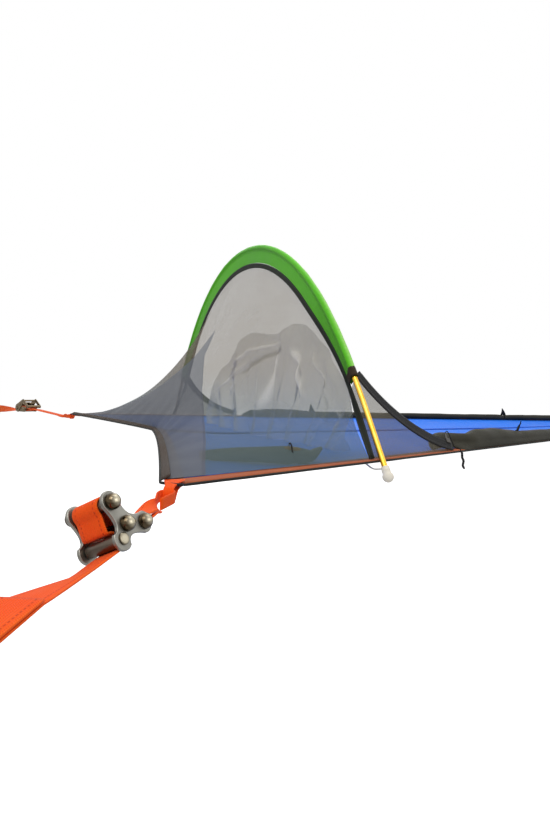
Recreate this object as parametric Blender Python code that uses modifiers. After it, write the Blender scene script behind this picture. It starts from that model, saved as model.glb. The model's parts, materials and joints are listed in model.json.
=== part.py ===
"""Tree tent: a three-cornered hammock tent with one arched pole, hung from three webbing straps.

The tent lies in its floor plane. +X runs from the head edge to the foot corner, +Z is up, and
the near side is -Y. The model's origin is in the eye of the foot strap, on the centre line.
"""

import math

import bmesh
import bpy
import numpy as np
from mathutils import Euler, Matrix, Vector

# Overall plan of the floor
HEAD_WIDTH = 1.400
TENT_LENGTH = 2.915
HEAD_SAG = 0.147
HEAD_CURVE_POWER = 1.164
CLEARANCE = 0.0003
NEAR = -1
FAR = 1

# Floor, its edge webbing and its piped hem
FLOOR_THICKNESS = 0.0015
EDGE_WEBBING_WIDTH = 0.025
EDGE_WEBBING_THICKNESS = 0.002
EDGE_WEBBING_INSET = 0.001
EDGE_WEBBING_HEAD_SETBACK = 0.030
EDGE_WEBBING_FOOT_SETBACK = 0.118
HEAD_WEBBING_SETBACK = 0.048
HEM_DIAMETER = 0.0034
HEM_SETBACK = 0.012
CORNER_BLUNT = 0.026
HEAD_STEPS = 24

# Arched pole: a springy rod bent to a free elastic curve
POLE_DIAMETER = 0.0095
POLE_WALL = 0.0006
POLE_SHARE = 0.128
POLE_OUTSIDE = 0.0157
POLE_DROP = 0.0084
POLE_END_DEGREES = 58.0
POLE_LEAN_DEGREES = 0.92
POLE_EXTRA = 0.013
POLE_STEPS = 48
POLE_SIDES = 10
FERRULE_WALL = 0.0007
FERRULE_PLAY = 0.00045
SHOCK_CORD_DIAMETER = 0.0026

# Ball feet on the pole and their elastic ties
FOOT_DIAMETER = 0.018
FOOT_LENGTH = 0.026
FOOT_NECK_DIAMETER = 0.0135
FOOT_SOCKET_DEPTH = 0.015
FOOT_TIE_DIAMETER = 0.0028

# Sleeve over the pole, the dark binding along its inner edge, and the door binding
SLEEVE_WIDTH = 0.034
SLEEVE_FABRIC = 0.0008
SLEEVE_SLACK = 0.0016
SLEEVE_END_SHARE = 0.105
SLEEVE_FULL_SHARE = 0.260
SLEEVE_END_WIDTH_SHARE = 0.68
SLEEVE_END_LEAN_DEGREES = 13.0
SLEEVE_WEB_GAP = 0.0018
BINDING_WIDTH = 0.012
BINDING_THICKNESS = 0.003
BINDING_FOOT_BACK = 0.008
BINDING_FOOT_INSET = 0.005
BINDING_FOOT_HEIGHT = 0.0038
BINDING_FOOT_SHARE = 0.018
BINDING_TURN_SHARE = 0.100
BINDING_TWIST_GAP = 0.0054
DOOR_BINDING_WIDTH = 0.016
DOOR_BINDING_THICKNESS = 0.0024
DOOR_FOOT_X = 0.600
DOOR_FOOT_INSET = 0.008
DOOR_FOOT_HEIGHT = 0.0120
DOOR_HEAD_SHARE = 0.112
DOOR_HEAD_INWARD = 0.004
DOOR_HEAD_FORWARD = 0.0135
DOOR_ARC_SAG = 0.029
DOOR_STEPS = 18

# Zip sliders that run along the door bindings
SLIDER_LENGTH = 0.012
SLIDER_WIDTH = 0.010
SLIDER_THICKNESS = 0.007
SLIDER_SLOT_DEPTH = 0.0055
SLIDER_TAB_LENGTH = 0.011
SLIDER_TAB_WIDTH = 0.006
SLIDER_TAB_THICKNESS = 0.0016
SLIDER_START_DEGREES = 2.2
PULL_CORD_DIAMETER = 0.0018
PULL_GRIP_DIAMETER = 0.0044
PULL_DROP = 0.028
PULL_CORD_SHARES = (
    (-0.20, 0.56, 0.16),
    (0.14, 0.60, 0.06),
    (0.34, 0.62, -0.22),
    (0.36, 0.66, -0.55),
    (0.37, 0.84, -0.80),
    (0.37, 0.78, -1.12),
    (0.37, 1.02, -1.36),
)

# Mesh panels
MESH_THICKNESS = 0.0012
HOOD_LIFT = 0.0033
HOOD_INSET = 0.006
HOOD_STUB = 0.006
HOOD_HALF_CELLS = 12
HOOD_ROWS = 12
HOOD_CROSS_TENSION = 1.3
CHEEK_LIFT = 0.0030
CHEEK_CELLS = 12
CHEEK_ROWS = 5
CHEEK_FOLD_SHARE = 0.45
CHEEK_TOP_SHARE = 0.058

# Loose door mesh that hangs in folds in the arch
DOOR_MESH_X = 0.402
DOOR_MESH_CREST_SHARES = (
    (0.2143, 0.0429),
    (0.2343, 0.0836),
    (0.1364, 0.1393),
    (0.0371, 0.1871),
    (-0.0786, 0.1786),
    (-0.1743, 0.1871),
    (-0.2357, 0.1607),
    (-0.3, 0.1071),
    (-0.3357, 0.0607),
)
DOOR_MESH_FOOT_SHARES = (0.2357, -0.3357)
DOOR_MESH_LEAN = 0.020
DOOR_MESH_LIFT = 0.0004
DOOR_MESH_FOLD = 0.007
DOOR_MESH_CELLS = 32
DOOR_MESH_ROWS = 6
DOOR_MESH_FOLDS = 5

# Rolled side flaps and their ties
NEAR_HEAD_ROLL_RADIUS = 0.010
NEAR_HEAD_ROLL_PATH_SHARES = ((0.0764, -0.3621), (0.1129, -0.3886), (0.1586, -0.4171), (0.1871, -0.4129), (0.2143, -0.3914))
NEAR_HEAD_ROLL_RADIUS_SHARES = (0.5, 0.85, 1.0, 0.7, 0.30)
NEAR_HEAD_ROLL_TIP_RISE = 0.010
NEAR_ROLL_RADIUS = 0.0178
FAR_ROLL_RADIUS = 0.0090
ROLL_STEPS = 22
ROLL_TIP_RADIUS = 0.007
ROLL_TIE_DIAMETER = 0.003
ROLL_TIE_TAIL = 0.026
NEAR_ROLL_START_X = 0.618
FAR_ROLL_START_X = 0.620
ROLL_END_X = 2.560
NEAR_TIE_X = 0.890
NEAR_HEAD_TIE_SHARE = 0.5
FAR_TIE_XS = (0.896, 1.762)

# Webbing straps
NEAR_STRAP_WIDTH = 0.025
FAR_STRAP_WIDTH = 0.030
STRAP_THICKNESS = 0.0016
NEAR_RUN_SHARES = (-0.485, -0.874)
FAR_RUN_SHARES = (-0.449, 0.893)
CORNER_LOOP_WIDTH = 0.008
CORNER_LOOP_REACH = 0.010
CORNER_LOOP_LEG = 0.055
CORNER_LOOP_RADIUS = 0.0078
HITCH_RADIUS = 0.0078
HITCH_LENGTH = 0.036
HITCH_TWIST_STEPS = 6
EYE_RADIUS = 0.016
EYE_LAP = 0.060
NEAR_STRAP_REACH = 0.420
FAR_STRAP_REACH = 0.660
FOOT_STRAP_REACH = 0.230

# Webbing lock on the near strap: two three-lobed plates, four bolts and two rollers
LOCK_DISTANCE = 0.1952
LOCK_LIFT = 0.0020
LOCK_TURN_DEGREES = (20.3, -25.8, -47.8)
LOCK_ARMS = {"top": 0.0198, "tent": 0.0200, "tree": 0.0125}
LOCK_LOBE_RADIUS = 0.0088
LOCK_WAIST_RADIUS = 0.016
LOCK_PLATE_THICKNESS = 0.003
LOCK_INSIDE_WIDTH = 0.0320
LOCK_STRAP_SHIFT = 0.0030
LOCK_BOLT_DIAMETER = 0.006
LOCK_CAP_DIAMETER = 0.0125
LOCK_CAP_HEIGHT = 0.0068
LOCK_WASHER_HEIGHT = 0.0012
LOCK_FLAT_HEAD_DIAMETER = 0.0092
LOCK_ROLLER_DIAMETER = 0.010
LOCK_TUCK_SHARES = ((-1.06, -0.35), (-1.76, 0.19), (-2.42, 0.52), (-2.16, 1.76))
LOCK_LOBE_DEGREES = {"top": 90.0, "tent": -30.0, "tree": 210.0}

# Ratchet on the far strap
RATCHET_DISTANCE = 0.366
RATCHET_LIFT = 0.006
RATCHET_INSIDE_WIDTH = 0.0425
RATCHET_SHEET = 0.0022
RATCHET_BOLT_X = 0.051
RATCHET_BOLT_Z = -0.004
RATCHET_BOLT_DIAMETER = 0.008
RATCHET_FRAME_RADIUS = 0.0165
RATCHET_FRAME_TAIL_RADIUS = 0.0105
RATCHET_FLOOR_START = 0.026
RATCHET_FLOOR_END = 0.047
RATCHET_CORE_DIAMETER = 0.0125
RATCHET_JOURNAL_DIAMETER = 0.0115
RATCHET_SLOT = 0.0026
RATCHET_WHEEL_TIP_RADIUS = 0.0155
RATCHET_WHEEL_ROOT_RADIUS = 0.0122
RATCHET_WHEEL_THICKNESS = 0.0022
RATCHET_TEETH = 12
RATCHET_HANDLE_KNEE = (0.048, 0.030)
RATCHET_HANDLE_TIP = (0.082, 0.0070)
RATCHET_HANDLE_ARM = 0.013
RATCHET_GRIP_DIAMETER = 0.012
RATCHET_PAWL_THICKNESS = 0.0026
RATCHET_PAWL_LENGTH = 0.016
RATCHET_PAWL_TRAVEL = 0.0036
FRAME_PAWL_DEGREES = -2.9
RATCHET_TEETH_TURN_DEGREES = -2.4
RATCHET_PAWL_SEAT = 0.0003
WOUND_TURNS = 2
WOUND_PITCH = 0.0021

RUN_OUT = 0.002

FOOT_EYE_X = TENT_LENGTH + FOOT_STRAP_REACH - EYE_RADIUS


def clear_scene():
    for obj in list(bpy.data.objects):
        bpy.data.objects.remove(obj, do_unlink=True)


def new_collection(name):
    collection = bpy.data.collections.new(name)
    bpy.context.scene.collection.children.link(collection)
    return collection


clear_scene()
PARTS = new_collection("tree_tent")
CUTTERS = new_collection("cutters")
CUTTERS.hide_render = True


def principled(name, colour, roughness, metallic=0.0):
    material = bpy.data.materials.new(name)
    material.use_nodes = True
    shader = material.node_tree.nodes["Principled BSDF"]
    shader.inputs["Base Color"].default_value = (*colour, 1.0)
    shader.inputs["Roughness"].default_value = roughness
    shader.inputs["Metallic"].default_value = metallic
    return material


COLOURS = {
    "floor_fabric": ((0.03, 0.20, 0.75), 0.55, 0.0),
    "edge_webbing": ((0.62, 0.16, 0.04), 0.8, 0.0),
    "dark_binding": ((0.015, 0.015, 0.02), 0.7, 0.0),
    "mesh_netting": ((0.10, 0.11, 0.13), 0.9, 0.0),
    "sleeve_fabric": ((0.03, 0.42, 0.02), 0.5, 0.0),
    "gold_aluminium": ((0.85, 0.50, 0.06), 0.3, 1.0),
    "bright_aluminium": ((0.75, 0.76, 0.78), 0.3, 1.0),
    "white_plastic": ((0.80, 0.76, 0.68), 0.5, 0.0),
    "white_elastic": ((0.75, 0.75, 0.72), 0.8, 0.0),
    "black_elastic": ((0.02, 0.02, 0.02), 0.8, 0.0),
    "flap_fabric": ((0.05, 0.05, 0.05), 0.6, 0.0),
    "orange_webbing": ((0.90, 0.12, 0.01), 0.7, 0.0),
    "polished_steel": ((0.62, 0.62, 0.60), 0.15, 1.0),
    "bronze_steel": ((0.28, 0.22, 0.14), 0.35, 1.0),
}


def material_for(key, name):
    colour, roughness, metallic = COLOURS[key]
    return principled(f"{name}_{key}", colour, roughness, metallic)


def add(name, mesh, material, parent):
    """A part that shows, with its own material, hung on its parent."""
    obj = bpy.data.objects.new(name, mesh)
    PARTS.objects.link(obj)
    mesh.materials.append(material_for(material, name))
    obj.parent = parent
    return obj


def empty(name, matrix, parent=None):
    obj = bpy.data.objects.new(name, None)
    PARTS.objects.link(obj)
    obj.parent = parent
    obj.matrix_local = matrix
    return obj


def mesh_from(bm, name):
    mesh = bpy.data.meshes.new(name)
    bm.to_mesh(mesh)
    bm.free()
    return mesh


def smooth(obj, sharp_degrees=40.0):
    obj.data.shade_smooth()
    obj.data.set_sharp_from_angle(angle=math.radians(sharp_degrees))
    return obj


def sheet_mesh(name, cells, rows, place, wrap=False):
    """An open grid whose points place(i, j) puts in space, joined round when wrap is set."""
    bm = bmesh.new()
    bmesh.ops.create_grid(bm, x_segments=cells, y_segments=rows, size=0.5)
    for vert in bm.verts:
        i = round((vert.co.x + 0.5) * cells)
        j = round((vert.co.y + 0.5) * rows)
        vert.co = Vector(place(i, j))
    if wrap:
        bmesh.ops.remove_doubles(bm, verts=bm.verts, dist=CLEARANCE / 100)
        bmesh.ops.recalc_face_normals(bm, faces=bm.faces)
    return mesh_from(bm, name)


def solidify(obj, thickness, offset=0.0):
    modifier = obj.modifiers.new("thickness", "SOLIDIFY")
    modifier.thickness = thickness
    modifier.offset = offset
    modifier.use_even_offset = False
    modifier.use_rim = True
    return obj


def sheet(name, cells, rows, place, thickness, material, parent):
    obj = add(name, sheet_mesh(name, cells, rows, place), material, parent)
    return smooth(solidify(obj, thickness))


def ribbon(name, stations, thickness, material, parent):
    """A flat band through stations of (middle point, unit direction of its width, width)."""

    def place(i, j):
        middle, across, width = stations[j]
        return Vector(middle) + Vector(across) * (i - 0.5) * width

    return sheet(name, 1, len(stations) - 1, place, thickness, material, parent)


def hollow_rod(name, stations, radius, wall, sides, material, parent):
    """An open tube through stations of (centre, first ring axis, second ring axis)."""

    def place(i, j):
        centre, first, second = stations[j]
        turn = 2 * math.pi * (i % sides) / sides
        return Vector(centre) + radius * (math.cos(turn) * Vector(first) + math.sin(turn) * Vector(second))

    mesh = sheet_mesh(name, sides, len(stations) - 1, place, wrap=True)
    obj = add(name, mesh, material, parent)
    return smooth(solidify(obj, wall, offset=-1.0))


def round_cord(name, points, radius, material, parent, resolution=1, radii=None):
    """A round cord along points, with filled ends. radii scale the radius at each point."""
    curve = bpy.data.curves.new(name, "CURVE")
    curve.dimensions = "3D"
    curve.bevel_depth = radius
    curve.bevel_resolution = resolution
    curve.use_fill_caps = True
    spline = curve.splines.new("POLY")
    spline.points.add(len(points) - 1)
    for index, (point, slot) in enumerate(zip(points, spline.points)):
        slot.co = (*point, 1.0)
        slot.radius = radii[index] if radii else 1.0
    curve.materials.append(material_for(material, name))
    obj = bpy.data.objects.new(name, curve)
    PARTS.objects.link(obj)
    obj.parent = parent
    return obj


def smooth_path(points, count):
    """Points on a smooth curve through the given ones, evenly spaced by share."""
    knots = np.array([tuple(p) for p in points], float)
    last = len(knots) - 1
    padded = np.vstack([2 * knots[0] - knots[1], knots, 2 * knots[-1] - knots[-2]])
    path = []
    for step in range(count):
        place = step / (count - 1) * last
        k = min(int(place), last - 1)
        t = place - k
        a, b, c, d = padded[k : k + 4]
        path.append(
            0.5 * (2 * b + (c - a) * t + (2 * a - 5 * b + 4 * c - d) * t**2 + (3 * b - a - 3 * c + d) * t**3)
        )
    return path


def arc_points(centre, radius, start_degrees, end_degrees, steps):
    """Points of a flat arc, both ends included."""
    turns = [
        math.radians(start_degrees + (end_degrees - start_degrees) * k / steps) for k in range(steps + 1)
    ]
    return [(centre[0] + radius * math.cos(t), centre[1] + radius * math.sin(t)) for t in turns]


def flat_plate(name, outlines, thickness):
    """A mesh of a flat outline with holes, standing in XY and centred on it."""
    curve = bpy.data.curves.new(name, "CURVE")
    curve.dimensions = "2D"
    curve.fill_mode = "BOTH"
    curve.extrude = thickness / 2
    for outline in outlines:
        spline = curve.splines.new("POLY")
        spline.points.add(len(outline) - 1)
        for (x, y), slot in zip(outline, spline.points):
            slot.co = (x, y, 0.0, 1.0)
        spline.use_cyclic_u = True
    guide = bpy.data.objects.new(name, curve)
    CUTTERS.objects.link(guide)
    bpy.context.view_layer.update()
    mesh = bpy.data.meshes.new_from_object(guide.evaluated_get(bpy.context.evaluated_depsgraph_get()))
    bpy.data.objects.remove(guide, do_unlink=True)
    bm = bmesh.new()
    bm.from_mesh(mesh)
    bmesh.ops.remove_doubles(bm, verts=bm.verts, dist=CLEARANCE / 100)
    bmesh.ops.recalc_face_normals(bm, faces=bm.faces)
    bm.to_mesh(mesh)
    bm.free()
    return mesh


def turned_mesh(name, profile, steps):
    """A body turned about Z from (radius, height) points that run down its outer side."""
    bm = bmesh.new()
    verts = [bm.verts.new((radius, 0.0, height)) for radius, height in profile]
    for first, second in zip(verts, verts[1:]):
        bm.edges.new((first, second))
    mesh = mesh_from(bm, name)
    guide = bpy.data.objects.new(name, mesh)
    CUTTERS.objects.link(guide)
    screw = guide.modifiers.new("turn", "SCREW")
    screw.steps = steps
    screw.render_steps = steps
    screw.use_merge_vertices = True
    screw.merge_threshold = CLEARANCE / 30
    bpy.context.view_layer.update()
    turned = bpy.data.meshes.new_from_object(guide.evaluated_get(bpy.context.evaluated_depsgraph_get()))
    bpy.data.objects.remove(guide, do_unlink=True)
    bm = bmesh.new()
    bm.from_mesh(turned)
    bmesh.ops.remove_doubles(bm, verts=bm.verts, dist=CLEARANCE / 100)
    bmesh.ops.recalc_face_normals(bm, faces=bm.faces)
    bm.to_mesh(turned)
    bm.free()
    return turned


def box_mesh(name, size, centre=(0.0, 0.0, 0.0)):
    bm = bmesh.new()
    bmesh.ops.create_cube(bm, size=1.0)
    bmesh.ops.scale(bm, vec=size, verts=bm.verts)
    bmesh.ops.translate(bm, vec=centre, verts=bm.verts)
    return mesh_from(bm, name)


def rod_mesh(name, diameter, length, sides=16):
    bm = bmesh.new()
    bmesh.ops.create_cone(
        bm, cap_ends=True, segments=sides, radius1=diameter / 2, radius2=diameter / 2, depth=length
    )
    return mesh_from(bm, name)


def boolean(obj, name, mesh, operation, matrix=None):
    """Cuts mesh from obj or joins it on. matrix is its place in the object's own frame."""
    helper = bpy.data.objects.new(name, mesh)
    CUTTERS.objects.link(helper)
    helper.hide_render = True
    helper.display_type = "WIRE"
    helper.parent = obj
    helper.matrix_local = matrix or Matrix.Identity(4)
    modifier = obj.modifiers.new(name, "BOOLEAN")
    modifier.operation = operation
    modifier.object = helper
    return obj


def bevel(obj, width, segments=2, limit_degrees=50.0):
    modifier = obj.modifiers.new("rounded_edges", "BEVEL")
    modifier.width = width
    modifier.segments = segments
    modifier.limit_method = "ANGLE"
    modifier.angle_limit = math.radians(limit_degrees)
    return obj


UP_VECTOR = Vector((0.0, 0.0, 1.0))
ALONG_X = Matrix.Rotation(math.pi / 2, 4, "Y")
ALONG_Y = Matrix.Rotation(math.pi / 2, 4, "X")

TENT = empty("tent_origin", Matrix.Translation((-FOOT_EYE_X, 0.0, 0.0)))


# Plan of the floor


def head_edge(share):
    """A point of the head edge, from the near corner at 0 to the far corner at 1."""
    y = (share - 0.5) * HEAD_WIDTH
    x = HEAD_SAG * (1 - abs(2 * share - 1) ** HEAD_CURVE_POWER)
    return np.array([x, y, 0.0])


def head_inward(share):
    step = 1 / HEAD_STEPS / 2
    run = head_edge(min(1, share + step)) - head_edge(max(0, share - step))
    inward = np.array([run[1], -run[0], 0.0])
    return inward / np.linalg.norm(inward)


SIDE_LENGTH = math.hypot(TENT_LENGTH, HEAD_WIDTH / 2)


def side_run(side):
    return np.array([TENT_LENGTH, -side * HEAD_WIDTH / 2, 0.0]) / SIDE_LENGTH


def side_inward(side):
    return np.array([-HEAD_WIDTH / 2, -side * TENT_LENGTH, 0.0]) / SIDE_LENGTH


def side_point(side, x, inset=0.0, height=0.0):
    """A point over a long edge at a given x, moved inward and up."""
    share = x / TENT_LENGTH
    on_edge = np.array([x, side * HEAD_WIDTH / 2 * (1 - share), height])
    return on_edge + side_inward(side) * inset


def side_cut(side):
    """Where the blunt head corner meets a long edge."""
    return np.array([0.0, side * HEAD_WIDTH / 2, 0.0]) + side_run(side) * CORNER_BLUNT


def head_share_at(distance):
    """The head edge's share at a distance from its corner, measured across the tent."""
    return distance / HEAD_WIDTH


def build_floor():
    first = head_share_at(CORNER_BLUNT)
    outline = [side_cut(NEAR)[:2]]
    outline += [head_edge(first + (1 - 2 * first) * k / HEAD_STEPS)[:2] for k in range(HEAD_STEPS + 1)]
    outline += [side_cut(FAR)[:2], (TENT_LENGTH, 0.0)]
    outline = [tuple(point) for point in outline]
    floor = add("floor_panel", flat_plate("floor_panel", [outline], FLOOR_THICKNESS), "floor_fabric", TENT)
    floor.location.z = -FLOOR_THICKNESS / 2

    middle = EDGE_WEBBING_INSET + EDGE_WEBBING_WIDTH / 2
    height = CLEARANCE + EDGE_WEBBING_THICKNESS / 2
    for side, name in ((NEAR, "near_edge_webbing"), (FAR, "far_edge_webbing")):
        start = side_run(side) * EDGE_WEBBING_HEAD_SETBACK
        end = side_run(side) * (SIDE_LENGTH - EDGE_WEBBING_FOOT_SETBACK)
        corner = side_point(side, 0.0, middle, height)
        stations = [(corner + way, side_inward(side), EDGE_WEBBING_WIDTH) for way in (start, end)]
        ribbon(name, stations, EDGE_WEBBING_THICKNESS, "edge_webbing", TENT)

    first = head_share_at(HEAD_WEBBING_SETBACK)
    shares = [first + (1 - 2 * first) * k / HEAD_STEPS for k in range(HEAD_STEPS + 1)]
    stations = []
    for share in shares:
        point = head_edge(share) + head_inward(share) * middle + np.array([0, 0, height])
        stations.append((point, head_inward(share), EDGE_WEBBING_WIDTH))
    ribbon("head_edge_webbing", stations, EDGE_WEBBING_THICKNESS, "edge_webbing", TENT)

    outside = HEM_DIAMETER / 2 + CLEARANCE
    hem_height = HEM_DIAMETER / 2 - FLOOR_THICKNESS
    for side, name in ((NEAR, "near_edge_hem"), (FAR, "far_edge_hem")):
        corner = side_point(side, 0.0, -outside, hem_height)
        ends = [corner + side_run(side) * way for way in (CORNER_BLUNT, SIDE_LENGTH - HEM_SETBACK)]
        round_cord(name, ends, HEM_DIAMETER / 2, "dark_binding", TENT, resolution=2)
    first = head_share_at(CORNER_BLUNT)
    points = []
    for k in range(HEAD_STEPS + 1):
        share = first + (1 - 2 * first) * k / HEAD_STEPS
        points.append(head_edge(share) - head_inward(share) * outside + np.array([0, 0, hem_height]))
    round_cord("head_edge_hem", points, HEM_DIAMETER / 2, "dark_binding", TENT, resolution=2)


# The arched pole


def elastic_curve(end_degrees, steps):
    """Half of a bent rod's free curve, as (across, height), for a half span of 1."""
    modulus = math.sin(math.radians(end_degrees) / 2)
    phase = np.linspace(0, math.pi / 2, steps * 8 + 1)
    pace = 1 / np.sqrt(1 - (modulus * np.sin(phase)) ** 2)
    lean = 2 * np.arcsin(modulus * np.sin(phase))

    def running(values):
        pieces = (values[1:] + values[:-1]) / 2 * np.diff(phase)
        return np.concatenate([[0.0], np.cumsum(pieces)])

    way = running(pace)
    across = running(np.cos(lean) * pace)
    height = 2 * modulus * np.cos(phase)
    evenly = np.linspace(0, way[-1], steps + 1)
    span = across[-1]
    return np.interp(evenly, way, across) / span, np.interp(evenly, way, height) / span


ARCH_LEAN = math.radians(POLE_LEAN_DEGREES)
ARCH_UP = np.array([math.sin(ARCH_LEAN), 0.0, math.cos(ARCH_LEAN)])
ARCH_FORWARD = np.array([math.cos(ARCH_LEAN), 0.0, -math.sin(ARCH_LEAN)])
ARCH_ACROSS = np.array([0.0, 1.0, 0.0])
ARCH_BASE = np.array([TENT_LENGTH * POLE_SHARE, 0.0, -POLE_DROP])
ARCH_HALF_SPAN = HEAD_WIDTH / 2 * (1 - POLE_SHARE) + POLE_OUTSIDE


def arch_stations():
    """Points and in-plane inward directions along the pole, near foot to far foot."""
    across, height = elastic_curve(POLE_END_DEGREES, POLE_STEPS // 2)
    across = np.concatenate([-across[::-1], across[1:]]) * ARCH_HALF_SPAN
    height = np.concatenate([height[::-1], height[1:]]) * ARCH_HALF_SPAN
    points = [ARCH_BASE + a * ARCH_ACROSS + h * ARCH_UP for a, h in zip(across, height)]
    runs = np.gradient(np.array(points), axis=0)
    runs /= np.linalg.norm(runs, axis=1)[:, None]
    inward = [(run @ ARCH_UP) * ARCH_ACROSS - (run @ ARCH_ACROSS) * ARCH_UP for run in runs]
    return points, inward, runs


ARCH_POINTS, ARCH_INWARD, ARCH_RUNS = arch_stations()


def arch_at(share, inward=0.0, headward=0.0):
    """A point beside the pole at a share of its length, moved inward and towards the head."""
    place = share * POLE_STEPS
    k = min(int(place), POLE_STEPS - 1)
    t = place - k
    point = ARCH_POINTS[k] * (1 - t) + ARCH_POINTS[k + 1] * t
    direction = ARCH_INWARD[k] * (1 - t) + ARCH_INWARD[k + 1] * t
    return point + direction * inward - ARCH_FORWARD * headward


def pole_table():
    """Pole stations with its straight ends, as (centre, ring axis, ring axis)."""
    points = [ARCH_POINTS[0] - ARCH_RUNS[0] * POLE_EXTRA]
    points += list(ARCH_POINTS)
    points.append(ARCH_POINTS[-1] + ARCH_RUNS[-1] * POLE_EXTRA)
    inward = [ARCH_INWARD[0], *ARCH_INWARD, ARCH_INWARD[-1]]
    return [(p, n, ARCH_FORWARD) for p, n in zip(points, inward)]


def build_pole():
    table = pole_table()
    last = len(table) - 1
    joints = [round(last / 3), round(2 * last / 3)]
    bounds = [0, *joints, last]
    bore = POLE_DIAMETER / 2 - POLE_WALL
    for number, (start, end) in enumerate(zip(bounds, bounds[1:]), 1):
        stations = list(table[start : end + 1])
        if start:
            centre, first, second = stations[0]
            run = (stations[1][0] - centre) / np.linalg.norm(stations[1][0] - centre)
            stations[0] = (centre + run * CLEARANCE, first, second)
        hollow_rod(
            f"pole_section_{number}",
            stations,
            POLE_DIAMETER / 2,
            POLE_WALL,
            POLE_SIDES,
            "gold_aluminium",
            TENT,
        )
    for number, joint in enumerate(joints, 1):
        stations = table[joint - 1 : joint + 2]
        outer = bore - FERRULE_PLAY
        hollow_rod(
            f"pole_ferrule_{number}", stations, outer, FERRULE_WALL, POLE_SIDES, "bright_aluminium", TENT
        )
    cord = [station[0] for station in table]
    round_cord("pole_shock_cord", cord, SHOCK_CORD_DIAMETER / 2, "white_elastic", TENT)


def build_pole_feet():
    socket = POLE_DIAMETER / 2 + CLEARANCE * 1.5
    ball_centre = -(FOOT_LENGTH - FOOT_DIAMETER / 2)
    ball = arc_points((0.0, ball_centre), FOOT_DIAMETER / 2, 40.0, -90.0, 7)
    profile = [(socket, 0.0), (FOOT_NECK_DIAMETER / 2, 0.0)]
    profile += ball
    profile += [(0.0, -FOOT_SOCKET_DEPTH), (socket, -FOOT_SOCKET_DEPTH), (socket, 0.0)]
    profile = [(max(radius, 0.0), height) for radius, height in profile]
    for side, name, index, sign in ((NEAR, "near", 0, -1), (FAR, "far", -1, 1)):
        mesh = turned_mesh(f"pole_foot_{name}", profile, 16)
        foot = add(f"pole_foot_{name}", mesh, "white_plastic", TENT)
        smooth(foot)
        run = Vector(ARCH_RUNS[index] * sign)
        tip = Vector(ARCH_POINTS[index]) + run * POLE_EXTRA
        up = -run
        turn = up.to_track_quat("Z", "Y")
        foot.rotation_euler = turn.to_euler()
        foot.location = tip + up * (FOOT_SOCKET_DEPTH - CLEARANCE)

        neck = foot.location + run * FOOT_LENGTH * 0.12
        side_way = Vector((-1.0, 0.0, 0.0))
        start = neck + side_way * (FOOT_NECK_DIAMETER / 2 + FOOT_TIE_DIAMETER / 2 + CLEARANCE)
        hole = Vector(side_point(side, ARCH_BASE[0], EDGE_WEBBING_WIDTH * 0.3, 0.0))
        hole.x = start.x - FOOT_NECK_DIAMETER
        below = Vector((hole.x, hole.y, -FLOOR_THICKNESS - CLEARANCE - FOOT_TIE_DIAMETER / 2))
        bow = (start + below) / 2 + Vector((0.0, 0.0, -FOOT_TIE_DIAMETER * 1.5))
        path = smooth_path([start, bow, below], 9)
        round_cord(f"foot_tie_{name}", path, FOOT_TIE_DIAMETER / 2, "white_elastic", TENT)


# Sleeve, bindings and mesh


def from_end(share):
    """The share of the arch between a point and its nearer end."""
    return min(share, 1 - share)


def eased(value):
    """A smooth step from 0 to 1."""
    value = min(max(value, 0.0), 1.0)
    return value * value * (3 - 2 * value)


def sleeve_fullness(share):
    """0 at the sleeve's ends, 1 where it has its full width."""
    return eased((from_end(share) - SLEEVE_END_SHARE) / (SLEEVE_FULL_SHARE - SLEEVE_END_SHARE))


def web_width(share):
    """The distance from the pole's middle to the sleeve's inner edge."""
    return SLEEVE_WIDTH * (SLEEVE_END_WIDTH_SHARE + (1 - SLEEVE_END_WIDTH_SHARE) * sleeve_fullness(share))


def web_point(share, along, aside=0.0):
    """A point beside the pole, along the sleeve's web and aside from it. The web leans to the foot at its ends."""
    lean = -math.radians(SLEEVE_END_LEAN_DEGREES) * (1 - sleeve_fullness(share))
    inward = along * math.cos(lean) - aside * math.sin(lean)
    headward = along * math.sin(lean) + aside * math.cos(lean)
    return arch_at(share, inward, headward)


def unit(vector):
    return vector / np.linalg.norm(vector)


def pole_share(k):
    """The arch share of a pole table index."""
    return k / POLE_STEPS


def build_sleeve():
    first = round(SLEEVE_END_SHARE * POLE_STEPS)
    rows = POLE_STEPS - 2 * first
    around = POLE_DIAMETER / 2 + SLEEVE_FABRIC / 2 + CLEARANCE * 2
    profile = [(0.0, SLEEVE_WEB_GAP / 2)]
    profile += arc_points((-SLEEVE_SLACK, 0.0), around + SLEEVE_SLACK / 2, 55.0, 305.0, 7)
    profile.append((0.0, -SLEEVE_WEB_GAP / 2))

    def place(i, j):
        share = pole_share(first + j)
        along, aside = profile[i]
        if i in (0, len(profile) - 1):
            along = web_width(share)
        return web_point(share, along, aside)

    sheet("arch_sleeve", len(profile) - 1, rows, place, SLEEVE_FABRIC, "sleeve_fabric", TENT)


def binding_station(share):
    """The arch binding's middle and the direction of its width, from the pole to the mesh."""
    on_arch = min(max(share, BINDING_TURN_SHARE), 1 - BINDING_TURN_SHARE)
    out = web_width(on_arch) + BINDING_WIDTH / 2 + CLEARANCE * 2
    middle = web_point(on_arch, out)
    direction = unit(middle - web_point(on_arch, 0.0))
    if on_arch == share:
        return middle, direction
    side = NEAR if share < on_arch else FAR
    down = (BINDING_TURN_SHARE - from_end(share)) / (BINDING_TURN_SHARE - BINDING_FOOT_SHARE)
    foot_x = ARCH_BASE[0] - BINDING_FOOT_BACK
    foot = side_point(side, foot_x, BINDING_FOOT_INSET + BINDING_THICKNESS, BINDING_FOOT_HEIGHT)
    turned = direction * (1 - down) - side_run(side) * down
    return middle + (foot - middle) * down, unit(turned)


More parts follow.
